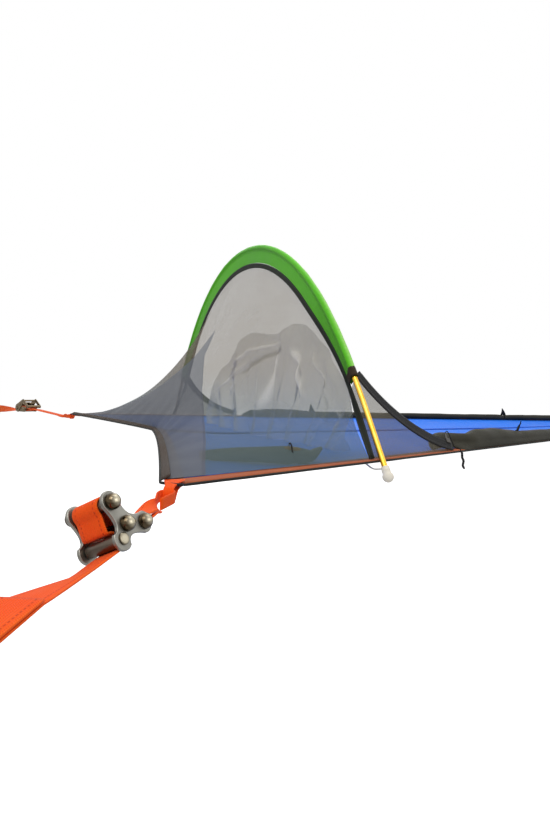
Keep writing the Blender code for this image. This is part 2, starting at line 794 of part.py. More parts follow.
def build_arch_binding():
    stations = []
    for k in range(POLE_STEPS + 1):
        middle, direction = binding_station(BINDING_FOOT_SHARE + (1 - 2 * BINDING_FOOT_SHARE) * k / POLE_STEPS)
        stations.append((middle, direction, BINDING_WIDTH))
    ribbon("arch_binding", stations, BINDING_THICKNESS, "dark_binding", TENT)


def twist_gap(share):
    """The extra room beside the binding where it turns between the sleeve and the floor."""
    middle = (BINDING_TURN_SHARE + BINDING_FOOT_SHARE) / 2
    nearness = 1 - abs(from_end(share) - middle) / (BINDING_TURN_SHARE - BINDING_FOOT_SHARE) * 1.6
    return CLEARANCE + BINDING_TWIST_GAP * max(0.0, nearness)


def arch_mesh_edge(share):
    """Where the hood's mesh meets the arch binding."""
    middle, direction = binding_station(share)
    return middle + direction * (BINDING_WIDTH / 2 + twist_gap(share))


def hood_points():
    """The hood's points: an evenly pulled net between the head edge, the sides and the arch."""
    columns = 2 * HOOD_HALF_CELLS
    rows = HOOD_ROWS
    net = np.zeros((columns + 1, rows + 1, 3))
    pinned = np.zeros((columns + 1, rows + 1), bool)
    ends = BINDING_FOOT_SHARE
    corner_share = head_share_at(CORNER_BLUNT + HOOD_INSET)
    for i in range(columns + 1):
        across = i / columns
        share = corner_share + (1 - 2 * corner_share) * across
        net[i, 0] = head_edge(share) + head_inward(share) * HOOD_INSET + np.array([0, 0, HOOD_LIFT])
        arch_share = ends + (1 - 2 * ends) * across
        net[i, rows] = arch_mesh_edge(arch_share)
        net[i, rows - 1] = net[i, rows] + binding_station(arch_share)[1] * HOOD_STUB
        net[i, rows - 1, 2] = max(net[i, rows - 1, 2], HOOD_LIFT)
    for i in (0, columns):
        start = net[i, 0]
        end = net[i, rows - 1].copy()
        end[2] = max(end[2], HOOD_LIFT)
        for j in range(rows):
            net[i, j] = start + (end - start) * j / (rows - 1)
    pinned[[0, columns], :] = True
    pinned[:, [0, rows - 1, rows]] = True
    free = [(i, j) for i in range(columns + 1) for j in range(rows + 1) if not pinned[i, j]]
    number = {cell: k for k, cell in enumerate(free)}
    pull = np.zeros((len(free), len(free)))
    held = np.zeros((len(free), 3))
    neighbours = ((1, 0, HOOD_CROSS_TENSION), (-1, 0, HOOD_CROSS_TENSION), (0, 1, 1.0), (0, -1, 1.0))
    for (i, j), k in number.items():
        for di, dj, tension in neighbours:
            cell = (i + di, j + dj)
            pull[k, k] += tension
            if cell in number:
                pull[k, number[cell]] -= tension
            else:
                held[k] += tension * net[cell]
    solved = np.linalg.solve(pull, held)
    for (i, j), k in number.items():
        net[i, j] = solved[k]
    return net


def build_hood():
    net = hood_points()
    for name, offset, gap in (("hood_mesh_near", 0, -CLEARANCE), ("hood_mesh_far", HOOD_HALF_CELLS, CLEARANCE)):

        def place(i, j, offset=offset, gap=gap):
            point = net[offset + i, j].copy()
            if offset + i == HOOD_HALF_CELLS:
                point[1] += gap
            return point

        sheet(name, HOOD_HALF_CELLS, HOOD_ROWS, place, MESH_THICKNESS, "mesh_netting", TENT)


def door_arc(side):
    """The circle that a door binding follows: centre, radius, axes and end angle."""
    share = DOOR_HEAD_SHARE if side == NEAR else 1 - DOOR_HEAD_SHARE
    top = arch_at(share, DOOR_HEAD_INWARD, -DOOR_HEAD_FORWARD)
    foot = side_point(side, DOOR_FOOT_X, DOOR_FOOT_INSET, DOOR_FOOT_HEIGHT)
    corner = side_point(side, ARCH_BASE[0], DOOR_FOOT_INSET, DOOR_FOOT_HEIGHT)
    chord = foot - top
    length = np.linalg.norm(chord)
    chord = chord / length
    to_corner = corner - (foot + top) / 2
    bulge = to_corner - (to_corner @ chord) * chord
    bulge = bulge / np.linalg.norm(bulge)
    radius = ((length / 2) ** 2 + DOOR_ARC_SAG**2) / (2 * DOOR_ARC_SAG)
    centre = (foot + top) / 2 - (radius - DOOR_ARC_SAG) * bulge
    half = math.asin(length / 2 / radius)
    return centre, radius, bulge, chord, half


def door_point(side, turn, radial=0.0, aside=0.0):
    """A point by the door binding: turn runs from -half at the arch to half at the foot."""
    centre, radius, bulge, chord, _ = door_arc(side)
    way = math.cos(turn) * bulge + math.sin(turn) * chord
    normal = np.cross(bulge, chord) * -side
    return centre + (radius + radial) * way + aside * normal


def door_radial(side, turn):
    _, _, bulge, chord, _ = door_arc(side)
    return math.cos(turn) * bulge + math.sin(turn) * chord


def build_doors():
    for side, name in ((NEAR, "near"), (FAR, "far")):
        half = door_arc(side)[4]
        stations = []
        for k in range(DOOR_STEPS + 1):
            turn = -half + 2 * half * k / DOOR_STEPS
            stations.append((door_point(side, turn), door_radial(side, turn), DOOR_BINDING_WIDTH))
        ribbon(f"door_binding_{name}", stations, DOOR_BINDING_THICKNESS, "dark_binding", TENT)

        def base(t, side=side):
            """The cheek's long side: down the arch binding's foot side, then along the floor edge."""
            if t <= CHEEK_FOLD_SHARE:
                share = CHEEK_TOP_SHARE + (BINDING_FOOT_SHARE - CHEEK_TOP_SHARE) * t / CHEEK_FOLD_SHARE
                share = share if side == NEAR else 1 - share
                middle, direction = binding_station(share)
                point = middle - direction * (BINDING_WIDTH / 2 + twist_gap(share))
                point[2] = max(point[2], CHEEK_LIFT)
                return point
            start = base(CHEEK_FOLD_SHARE)
            end = side_point(side, DOOR_FOOT_X - DOOR_BINDING_WIDTH, HOOD_INSET, CHEEK_LIFT)
            return start + (end - start) * (t - CHEEK_FOLD_SHARE) / (1 - CHEEK_FOLD_SHARE)

        def place(i, j, side=side, half=half, base=base):
            t = i / CHEEK_CELLS
            turn = -half + 2 * half * t
            outer = door_point(side, turn, DOOR_BINDING_WIDTH / 2 + CLEARANCE * 3)
            return outer + (base(t) - outer) * j / CHEEK_ROWS

        sheet(f"cheek_mesh_{name}", CHEEK_CELLS, CHEEK_ROWS, place, MESH_THICKNESS, "mesh_netting", TENT)


def build_sliders():
    """Zip sliders, whose frames turn about the centre of the door binding's arc."""
    for side, name in ((NEAR, "near"), (FAR, "far")):
        centre, radius, bulge, chord, half = door_arc(side)
        turn = half - math.radians(SLIDER_START_DEGREES)
        radial = Vector(door_radial(side, turn))
        normal = Vector(np.cross(bulge, chord) * -side)
        along = normal.cross(radial)
        axes = Matrix((radial, along, normal)).transposed().to_4x4()
        pivot = empty(f"zip_pivot_{name}", Matrix.Translation(centre) @ axes, TENT)
        inner = radius - DOOR_BINDING_WIDTH / 2
        body_centre = inner + SLIDER_SLOT_DEPTH - SLIDER_WIDTH / 2
        size = (SLIDER_WIDTH, SLIDER_LENGTH, SLIDER_THICKNESS)
        slider = add(
            f"zip_slider_{name}", box_mesh("slider", size, (body_centre, 0.0, 0.0)), "bronze_steel", pivot
        )
        slot_size = (
            SLIDER_SLOT_DEPTH + CLEARANCE + RUN_OUT,
            SLIDER_LENGTH + 2 * RUN_OUT,
            DOOR_BINDING_THICKNESS + 2 * CLEARANCE,
        )
        slot_centre = inner - CLEARANCE + slot_size[0] / 2
        bevel(slider, SLIDER_THICKNESS / 7)
        boolean(slider, f"slider_slot_{name}", box_mesh("slot", slot_size, (slot_centre, 0, 0)), "DIFFERENCE")
        tab_x = inner + SLIDER_SLOT_DEPTH - SLIDER_WIDTH - SLIDER_TAB_LENGTH / 2
        tab_size = (SLIDER_TAB_LENGTH + RUN_OUT, SLIDER_TAB_WIDTH, SLIDER_TAB_THICKNESS)
        boolean(slider, f"slider_tab_{name}", box_mesh("tab", tab_size, (tab_x + RUN_OUT / 2, 0, 0)), "UNION")
        if side == NEAR:
            frame = Matrix.Translation(centre) @ axes
            tab_end = frame @ Vector((tab_x - SLIDER_TAB_LENGTH / 2, 0.0, 0.0))
            build_pull_cord(tab_end)


def build_pull_cord(tab_end):
    """The cord and its thick curled grip that hang from the near slider, outside the edge."""
    out = Vector(-side_inward(NEAR))
    run = Vector(side_run(NEAR))
    start = tab_end + Vector((0.0, 0.0, PULL_CORD_DIAMETER))
    edge = Vector(side_point(NEAR, tab_end.x, 0.0, EDGE_WEBBING_THICKNESS + HEM_DIAMETER))
    knots = [start, start + run * SLIDER_LENGTH * 0.9 + UP_VECTOR * CLEARANCE]
    for beyond, along, height in PULL_CORD_SHARES:
        knots.append(edge + (out * beyond + run * along + UP_VECTOR * height) * PULL_DROP)
    path = smooth_path(knots, 22)
    thick = PULL_GRIP_DIAMETER / PULL_CORD_DIAMETER
    radii = [1.0 if k < 10 else thick for k in range(len(path))]
    round_cord("zip_pull_cord", path, PULL_CORD_DIAMETER / 2, "black_elastic", TENT, radii=radii)


def build_door_mesh():
    """The unzipped door mesh: it hangs in the arch, gathered into folds that stand on the floor."""
    crest = [(across * HEAD_WIDTH, height * HEAD_WIDTH, 0.0) for across, height in DOOR_MESH_CREST_SHARES]
    top = smooth_path(crest, DOOR_MESH_CELLS + 1)
    near_low, far_low = [share * HEAD_WIDTH for share in DOOR_MESH_FOOT_SHARES]
    low = DOOR_MESH_LIFT

    def place(i, j):
        y_top, z_top, _ = top[i]
        down = j / DOOR_MESH_ROWS
        across = i / DOOR_MESH_CELLS
        y_low = near_low + across * (far_low - near_low)
        y = y_top + (y_low - y_top) * down
        z = z_top + (low - z_top) * down
        fold = DOOR_MESH_FOLD * (0.3 + 0.7 * down) * math.sin(2 * math.pi * DOOR_MESH_FOLDS * across)
        return (DOOR_MESH_X + fold + DOOR_MESH_LEAN * (1 - down), y, z)

    sheet(
        "door_mesh", DOOR_MESH_CELLS, DOOR_MESH_ROWS, place, MESH_THICKNESS / 1.5, "mesh_netting", TENT
    )


# Rolled flaps along the edges


def roll_radius(x, start, end, radius):
    """A roll's radius: puckered at its head end, full, then drawn in to its foot end."""
    share = (x - start) / (end - start)
    swell = min(1.0, 0.60 + 9.0 * share)
    taper = 0.62 + 0.38 * math.exp(-max(0.0, share - 0.10) / 0.10)
    ripple = 1.0 + 0.05 * math.sin(29.0 * share)
    return max(ROLL_TIP_RADIUS, radius * swell * taper * ripple)


def roll_base():
    return CLEARANCE * 2 + EDGE_WEBBING_THICKNESS


def roll_middle(side, x, start, end, radius):
    size = roll_radius(x, start, end, radius)
    return side_point(side, x, EDGE_WEBBING_INSET + size + RUN_OUT * 2, roll_base() + size)


ROLLS = {
    "near_roll_foot": (NEAR, NEAR_ROLL_START_X, ROLL_END_X, NEAR_ROLL_RADIUS),
    "far_roll_foot": (FAR, FAR_ROLL_START_X, ROLL_END_X, FAR_ROLL_RADIUS),
}


def build_rolls():
    for name, (side, start, end, radius) in ROLLS.items():
        places = [start + (end - start) * k / ROLL_STEPS for k in range(ROLL_STEPS + 1)]
        points = [roll_middle(side, x, start, end, radius) for x in places]
        radii = [roll_radius(x, start, end, radius) / radius for x in places]
        round_cord(name, points, radius, "flap_fabric", TENT, resolution=3, radii=radii)
    build_near_head_roll()
    ties = [("near_roll_foot", NEAR_TIE_X)] + [("far_roll_foot", x) for x in FAR_TIE_XS]
    for number, (roll, x) in enumerate(ties, 2):
        build_roll_tie(f"roll_tie_{number}", ROLLS[roll], x)


def build_near_head_roll():
    """The near flap's head half: a loose roll that lies on the floor under the hood, with its tie."""
    shares = [share * NEAR_HEAD_ROLL_RADIUS for share in NEAR_HEAD_ROLL_RADIUS_SHARES]
    knots = []
    for (x, y), size in zip(NEAR_HEAD_ROLL_PATH_SHARES, shares):
        knots.append((x * HEAD_WIDTH, y * HEAD_WIDTH, size))
    path = smooth_path(knots, ROLL_STEPS)
    points = []
    radii = []
    for k, (x, y, size) in enumerate(path):
        rise = NEAR_HEAD_ROLL_TIP_RISE * max(0.0, 4 * k / (len(path) - 1) - 3)
        points.append((x, y, size * 1.02 + CLEARANCE + rise))
        radii.append(size / NEAR_HEAD_ROLL_RADIUS)
    round_cord("near_roll_head", points, NEAR_HEAD_ROLL_RADIUS, "flap_fabric", TENT, resolution=3, radii=radii)
    k = round(NEAR_HEAD_TIE_SHARE * (len(path) - 1))
    middle = Vector(points[k])
    ahead = (Vector(points[k + 1]) - Vector(points[k - 1])).normalized()
    up = Vector((0.0, 0.0, 1.0))
    out = ahead.cross(up)
    out = out if out.dot(Vector(side_inward(NEAR))) < 0 else -out
    thick = ROLL_TIE_DIAMETER / 2
    reach = path[k][2] * 1.05 + thick + CLEARANCE * 3
    knots = [middle + (up * math.sin(turn) - out * math.cos(turn)) * reach for turn in (0.3, 0.9, 1.5, 2.1, 2.7)]
    laid = roll_base() + thick + CLEARANCE
    for share in (1.5, 1.15, 0.9):
        webbing = side_point(NEAR, middle.x + reach * (2 - share), EDGE_WEBBING_WIDTH * share)
        knots.append(Vector(webbing) + up * laid)
    round_cord("roll_tie_1", smooth_path(knots, 18), thick, "black_elastic", TENT)


def build_roll_tie(name, roll, x):
    """An elastic tie: it goes over its roll, and its tail stands up on top."""
    side, start, end, radius = roll
    size = roll_radius(x, start, end, radius)
    middle = Vector(roll_middle(side, x, start, end, radius))
    inward = Vector(side_inward(side))
    up = Vector((0.0, 0.0, 1.0))
    thick = ROLL_TIE_DIAMETER / 2
    reach = size * 1.05 + thick + CLEARANCE * 3
    knots = [middle + up * (reach + ROLL_TIE_TAIL) - inward * size * 0.5]
    for degrees in range(80, -46, -18):
        turn = math.radians(degrees)
        knots.append(middle + (math.cos(turn) * inward + math.sin(turn) * up) * reach)
    path = smooth_path(knots, 20)
    radii = [2.2 if k < 3 else 1.0 for k in range(len(path))]
    round_cord(name, path, thick, "black_elastic", TENT, radii=radii)


# Corner loops and straps


def strap_run(side):
    if side == 0:
        return np.array([1.0, 0.0, 0.0])
    x, y = NEAR_RUN_SHARES if side == NEAR else FAR_RUN_SHARES
    return unit(np.array([x, y, 0.0]))


def corner_tip(side):
    """The middle of a corner's blunt end, or the pointed foot corner."""
    if side == 0:
        return np.array([TENT_LENGTH, 0.0, 0.0])
    share = head_share_at(CORNER_BLUNT)
    on_head = head_edge(share if side == NEAR else 1 - share)
    return (on_head + side_cut(side)) / 2


UP = np.array([0.0, 0.0, 1.0])
CORNER_NAMES = {NEAR: "near", FAR: "far", 0: "foot"}


def across_of(run):
    return np.cross(UP, run)


def loop_centre(side):
    """The middle of a corner loop's bend, out beyond the corner and under the floor's level."""
    drop = -FLOOR_THICKNESS - CLEARANCE * 2 - CORNER_LOOP_RADIUS
    return corner_tip(side) + strap_run(side) * CORNER_LOOP_REACH + UP * drop


def build_corner_loops():
    """Webbing sewn under each corner, out round a bend and back under itself."""
    thick = STRAP_THICKNESS
    for side, name in CORNER_NAMES.items():
        run = strap_run(side)
        centre = loop_centre(side)
        across = across_of(run)
        tip = corner_tip(side)
        flat = -FLOOR_THICKNESS - CLEARANCE - thick / 2
        wide = NEAR_STRAP_WIDTH
        radius = CORNER_LOOP_RADIUS + thick / 2
        stations = [
            (tip - run * CORNER_LOOP_LEG + UP * flat, across, wide),
            (tip - run * CORNER_LOOP_LEG * 0.5 + UP * flat, across, wide),
            (tip + run * CORNER_LOOP_REACH * 0.1 + UP * flat, across, CORNER_LOOP_WIDTH * 1.4),
        ]
        for dx, dz in arc_points((0.0, 0.0), radius, 80.0, -80.0, 8):
            stations.append((centre + run * dx + UP * dz, across, CORNER_LOOP_WIDTH))
        lower = flat - thick - CLEARANCE * 2
        stations += [
            (tip + run * CORNER_LOOP_REACH * 0.1 + UP * (lower - thick), across, CORNER_LOOP_WIDTH * 1.4),
            (tip - run * CORNER_LOOP_LEG * 0.5 + UP * lower, across, wide),
            (tip - run * CORNER_LOOP_LEG + UP * lower, across, wide),
        ]
        ribbon(f"corner_loop_{name}", stations, thick, "dark_binding", TENT)


def hitch_stations(side, width, tail_first):
    """A strap's end through a corner loop: twisted on edge, round the loop and back."""
    run = strap_run(side)
    across = across_of(run)
    radius = HITCH_RADIUS + STRAP_THICKNESS / 2
    narrow = CORNER_LOOP_WIDTH
    hold = math.sqrt(CORNER_LOOP_RADIUS**2 - (narrow / 2) ** 2) + math.sqrt(HITCH_RADIUS**2 - (narrow / 2) ** 2)
    centre = loop_centre(side) + run * (hold - CLEARANCE * 1.5)
    bend = []
    for dx, dy in arc_points((0.0, 0.0), radius, 90.0, 270.0, 8):
        bend.append((centre + run * dx + across * dy, UP, narrow))
    tail = [
        (centre + run * HITCH_LENGTH + across * (STRAP_THICKNESS * 1.8), UP, narrow),
        (centre + run * HITCH_LENGTH * 0.5 + across * (radius * 0.75), UP, narrow),
    ]
    out = []
    for k in range(HITCH_TWIST_STEPS + 1):
        share = k / HITCH_TWIST_STEPS
        turn = math.pi / 2 * eased(share)
        ahead = HITCH_LENGTH * (0.5 + 1.4 * share)
        aside = -radius * 0.75 * (1 - share) ** 2
        wide = narrow + (width - narrow) * eased(share)
        point = centre + run * ahead + across * aside
        out.append((point, UP * math.cos(turn) - across * math.sin(turn), wide))
    return tail + bend + out if tail_first else (tail + bend + out)[::-1]


def eye_stations(side, reach, width, height, across):
    """The outer end of a strap: round a sewn eye and back on top of itself."""
    run = strap_run(side)
    tip = corner_tip(side)
    centre = tip + run * (reach - EYE_RADIUS) + UP * height
    radius = EYE_RADIUS + STRAP_THICKNESS / 2
    lap = centre - run * (EYE_LAP + EYE_RADIUS * 2)
    normal = np.cross(run, across)
    normal = normal / np.linalg.norm(normal)
    lower = -(STRAP_THICKNESS / 2 + CLEARANCE)
    stations = [
        (lap + normal * lower, across, width),
        (centre - run * EYE_RADIUS * 2 + normal * lower, across, width),
    ]
    for dx, dz in arc_points((0.0, 0.0), radius, -118.0, 118.0, 12):
        stations.append((centre + run * dx + normal * dz, across, width))
    stations += [
        (centre - run * EYE_RADIUS * 2 - normal * lower, across, width),
        (lap - normal * lower, across, width),
    ]
    return stations


def build_foot_strap():
    width = NEAR_STRAP_WIDTH
    stations = hitch_stations(0, width, True)
    stations += eye_stations(0, FOOT_STRAP_REACH, width, 0.0, across_of(strap_run(0)) * -1)
    ribbon("foot_strap", stations, STRAP_THICKNESS, "orange_webbing", TENT)


# Webbing lock


def lock_matrix():
    place = corner_tip(NEAR) + strap_run(NEAR) * LOCK_DISTANCE + UP * LOCK_LIFT
    turn = Euler([math.radians(d) for d in LOCK_TURN_DEGREES], "XYZ")
    return Matrix.Translation(place) @ turn.to_matrix().to_4x4()


def lobe_centre(name):
    turn = math.radians(LOCK_LOBE_DEGREES[name])
    return (LOCK_ARMS[name] * math.cos(turn), LOCK_ARMS[name] * math.sin(turn))


def lock_outline():
    """Three round lobes joined by hollow waists."""
    outline = []
    for name in ("top", "tree", "tent"):
        turn = LOCK_LOBE_DEGREES[name]
        outline += arc_points(lobe_centre(name), LOCK_LOBE_RADIUS, turn - 95.0, turn + 95.0, 9)
        waist = math.radians(turn + 60.0)
        depth = LOCK_WAIST_RADIUS * 0.62
        outline.append((depth * math.cos(waist), depth * math.sin(waist)))
    return outline


def hole(centre, radius, steps=14):
    return arc_points(centre, radius, 0.0, -360.0 + 360.0 / steps, steps - 1)


def domed_bolt():
    """A bolt with a domed cap on each end, from its top cap down."""
    half = LOCK_INSIDE_WIDTH / 2 + LOCK_PLATE_THICKNESS + CLEARANCE
    cap = LOCK_CAP_DIAMETER / 2
    shank = LOCK_BOLT_DIAMETER / 2
    top = [(0.0, half + LOCK_CAP_HEIGHT)]
    for degrees in (62.0, 34.0, 8.0):
        turn = math.radians(degrees)
        height = half + LOCK_WASHER_HEIGHT + math.sin(turn) * (LOCK_CAP_HEIGHT - LOCK_WASHER_HEIGHT)
        top.append((cap * math.cos(turn), height))
    top += [(cap, half + LOCK_WASHER_HEIGHT), (cap, half), (shank, half)]
    return top + [(radius, -height) for radius, height in reversed(top)]


def flat_bolt():
    """A bolt with a thin flat head on each end."""
    half = LOCK_INSIDE_WIDTH / 2 + LOCK_PLATE_THICKNESS + CLEARANCE
    head = LOCK_FLAT_HEAD_DIAMETER / 2
    shank = LOCK_BOLT_DIAMETER / 2
    face = half + LOCK_WASHER_HEIGHT
    top = [(0.0, face), (head * 0.86, face), (head, half + LOCK_WASHER_HEIGHT * 0.6), (head, half), (shank, half)]
    return top + [(radius, -height) for radius, height in reversed(top)]


def build_lock():
    pivot = empty("lock_frame", lock_matrix(), TENT)
    holes = [hole(lobe_centre(name), LOCK_BOLT_DIAMETER / 2 + CLEARANCE) for name in LOCK_LOBE_DEGREES]
    holes.append(hole((0.0, 0.0), LOCK_BOLT_DIAMETER / 2 + CLEARANCE))
    out = LOCK_INSIDE_WIDTH / 2 + LOCK_PLATE_THICKNESS / 2
    upright = Matrix.Rotation(math.pi / 2, 4, "Z") @ Matrix.Rotation(math.pi / 2, 4, "X")
    for name, side in (("inner", -1), ("outer", 1)):
        mesh = flat_plate(f"lock_plate_{name}", [lock_outline(), *holes], LOCK_PLATE_THICKNESS)
        plate = add(f"lock_plate_{name}", mesh, "polished_steel", pivot)
        plate.matrix_local = Matrix.Translation((side * out, 0.0, 0.0)) @ upright
        smooth(plate)
    places = {name: lobe_centre(name) for name in LOCK_LOBE_DEGREES}
    places["middle"] = (0.0, 0.0)
    for name, (y, z) in places.items():
        profile = flat_bolt() if name == "tree" else domed_bolt()
        bolt = add(f"lock_bolt_{name}", turned_mesh(f"lock_bolt_{name}", profile, 12), "polished_steel", pivot)
        bolt.matrix_local = Matrix.Translation((0.0, y, z)) @ ALONG_X
        smooth(bolt)
    length = LOCK_INSIDE_WIDTH / 2 - CLEARANCE
    bore = LOCK_BOLT_DIAMETER / 2 + CLEARANCE
    rim = LOCK_ROLLER_DIAMETER / 2
    for name in ("top", "tree"):
        y, z = places[name]
        outline = [(bore, length), (rim, length), (rim, -length), (bore, -length), (bore, length)]
        roller = add(f"lock_roller_{name}", turned_mesh(f"lock_roller_{name}", outline, 16), "bronze_steel", pivot)
        roller.matrix_local = Matrix.Translation((0.0, y, z)) @ ALONG_X
        smooth(roller)


def lock_path(points, width, shift_from=0.0, shift_to=0.0):
    """Strap stations from (y, z) points in the lock's own frame, shifted along its bolts on the way."""
    frame = TENT_LOCK
    across = np.array(frame.to_3x3() @ Vector((1.0, 0.0, 0.0)))
    stations = []
    for k, (y, z) in enumerate(points):
        shift = shift_from + (shift_to - shift_from) * k / (len(points) - 1)
        stations.append((np.array(frame @ Vector((shift, y, z))), across, width))
    return stations


TENT_LOCK = lock_matrix()


def build_near_straps():
    width = NEAR_STRAP_WIDTH
    gap = STRAP_THICKNESS / 2 + CLEARANCE * 1.5
    bolt_reach = LOCK_BOLT_DIAMETER / 2 + gap
    roller_reach = LOCK_ROLLER_DIAMETER / 2 + gap
    tent = lobe_centre("tent")
    wrap = arc_points(tent, bolt_reach, -70.0, -290.0, 10)
    lap = STRAP_THICKNESS / 2 + CLEARANCE * 1.5
    ahead = np.array([math.cos(math.radians(-13.0)), math.sin(math.radians(-13.0))])
    side_way = np.array([-ahead[1], ahead[0]])
    end_a = np.array(tent) + ahead * 0.030 - side_way * lap
    end_b = np.array(tent) + ahead * 0.030 + side_way * lap
    mid_a = np.array(tent) + ahead * 0.012 - side_way * (lap + bolt_reach * 0.35)
    mid_b = np.array(tent) + ahead * 0.012 + side_way * (lap + bolt_reach * 0.35)
    loop = [tuple(end_a), tuple(mid_a), *wrap, tuple(mid_b), tuple(end_b)]
    stations = hitch_stations(NEAR, width, True)
    hitch_across = stations[-1][1]
    lock_stations = lock_path(loop[::-1], width)
    if float(np.dot(hitch_across, lock_stations[0][1])) < 0:
        lock_stations = [(p, -a, w) for p, a, w in lock_stations]
    join_a = stations[-1]
    join_b = lock_stations[0]
    middle = []
    for t in (0.35, 0.7):
        point = join_a[0] * (1 - t) + join_b[0] * t
        across = join_a[1] * (1 - t) + join_b[1] * t
        middle.append((point, across / np.linalg.norm(across), width))
    ribbon("near_short_strap", stations + middle + lock_stations, STRAP_THICKNESS, "orange_webbing", TENT)

    top = lobe_centre("top")
    tree = lobe_centre("tree")
    path = [(y * bolt_reach, z * bolt_reach) for y, z in LOCK_TUCK_SHARES]
    path.append((top[0] - roller_reach, top[1] - bolt_reach))
    path += arc_points(top, roller_reach, 180.0, 0.0, 8)
    path += arc_points((0.0, 0.0), bolt_reach + 2 * STRAP_THICKNESS, 10.0, -75.0, 5)
    path += arc_points(tree, roller_reach, -75.0, -110.0, 3)
    out_way = np.array(TENT_LOCK.to_3x3().inverted() @ Vector(strap_run(NEAR)))[1:]
    out_way = out_way / np.linalg.norm(out_way)
    last = np.array(path[-1])
    for ahead_by in (1.0, 2.5):
        path.append(tuple(last + out_way * LOCK_CAP_DIAMETER * ahead_by))
    stations = lock_path(path, width, -LOCK_STRAP_SHIFT, LOCK_STRAP_SHIFT)
    eye_across = across_of(strap_run(NEAR))
    last_across = stations[-1][1]
    if float(np.dot(eye_across, last_across)) < 0:
        eye_across = -eye_across
    eye = eye_stations(NEAR, NEAR_STRAP_REACH, width, 0.0, eye_across)
    ribbon("near_tree_strap", stations + eye, STRAP_THICKNESS, "orange_webbing", TENT)


# Ratchet


def ratchet_matrix():
    run = Vector(-strap_run(FAR))
    across = Vector(UP).cross(run)
    axes = Matrix((run, across, Vector(UP))).transposed().to_4x4()
    place = corner_tip(FAR) + strap_run(FAR) * RATCHET_DISTANCE + UP * RATCHET_LIFT
    return Matrix.Translation(place) @ axes


def capsule_outline(first, first_radius, last, last_radius, steps=8):
    """Two round ends joined by their straight outer tangents."""
    first = np.array(first)
    last = np.array(last)
    way = last - first
    length = np.linalg.norm(way)
    heading = math.degrees(math.atan2(way[1], way[0]))
    spread = math.degrees(math.acos((first_radius - last_radius) / length))
    outline = arc_points(last, last_radius, heading - spread, heading + spread, steps)
    outline += arc_points(first, first_radius, heading + spread, heading + 360.0 - spread, steps + 2)
    return outline


RATCHET_HALF = RATCHET_INSIDE_WIDTH / 2
FRAME_MIDDLE = RATCHET_HALF + RATCHET_SHEET / 2
ARM_MIDDLE = RATCHET_HALF + RATCHET_SHEET * 1.5 + CLEARANCE


def standing(y):
    """Puts a flat XY outline upright in the ratchet's XZ plane at a given y."""
    return Matrix.Translation((0.0, y, 0.0)) @ Matrix.Rotation(math.pi / 2, 4, "X")


def pawl_direction(target):
    length = math.hypot(*target)
    return (target[0] / length, target[1] / length)


FRAME_PAWL_WAY = (
    math.cos(math.radians(FRAME_PAWL_DEGREES)),
    math.sin(math.radians(FRAME_PAWL_DEGREES)),
)
HANDLE_PAWL_WAY = pawl_direction(RATCHET_HANDLE_KNEE)


EAR_LENGTH = RATCHET_PAWL_LENGTH * 0.55


def ear_start():
    return RATCHET_WHEEL_TIP_RADIUS + RATCHET_PAWL_SEAT + RATCHET_PAWL_LENGTH - EAR_LENGTH


def ear_slot(way):
    """The slot that a pawl's ear slides in, long enough for its travel both ways."""
    start = ear_start() - RATCHET_PAWL_TRAVEL - CLEARANCE
    end = ear_start() + EAR_LENGTH + RATCHET_PAWL_TRAVEL + CLEARANCE
    half = RATCHET_PAWL_THICKNESS / 2 + CLEARANCE
    along = np.array(way)
    aside = np.array([-way[1], way[0]]) * half
    corners = [along * start - aside, along * end - aside, along * end + aside, along * start + aside]
    return [tuple(corner) for corner in corners]


def build_ratchet_frame(pivot):
    bolt = (RATCHET_BOLT_X, RATCHET_BOLT_Z)
    journal = RATCHET_JOURNAL_DIAMETER / 2 + CLEARANCE
    bore = RATCHET_BOLT_DIAMETER / 2 + CLEARANCE
    tail = RATCHET_FRAME_TAIL_RADIUS
    meet = math.degrees(math.asin((bolt[1] + tail) / RATCHET_FRAME_RADIUS))
    low = math.degrees(math.asin((bolt[1] - tail) / RATCHET_FRAME_RADIUS))
    outline = arc_points((0.0, 0.0), RATCHET_FRAME_RADIUS, meet, low + 360.0, 18)
    outline += arc_points(bolt, tail, -90.0, 90.0, 10)
    outlines = [outline, hole((0.0, 0.0), journal, 16), hole(bolt, bore), ear_slot(FRAME_PAWL_WAY)]
    plate = flat_plate("frame_plate", outlines, RATCHET_SHEET)
    frame = add("ratchet_frame", plate, "bronze_steel", pivot)
    frame.data.transform(standing(FRAME_MIDDLE))
    other = flat_plate("frame_plate_far", outlines, RATCHET_SHEET)
    floor_z = -RATCHET_FRAME_TAIL_RADIUS - RATCHET_SHEET
    length = RATCHET_FLOOR_END - RATCHET_FLOOR_START
    middle = (RATCHET_FLOOR_START + RATCHET_FLOOR_END) / 2
    size = (length, 2 * (RATCHET_HALF + RATCHET_SHEET * 0.9), RATCHET_SHEET)
    boolean(frame, "frame_far_side", other, "UNION", standing(-FRAME_MIDDLE))
    boolean(frame, "frame_floor", box_mesh("frame_floor", size, (middle, 0.0, floor_z)), "UNION")


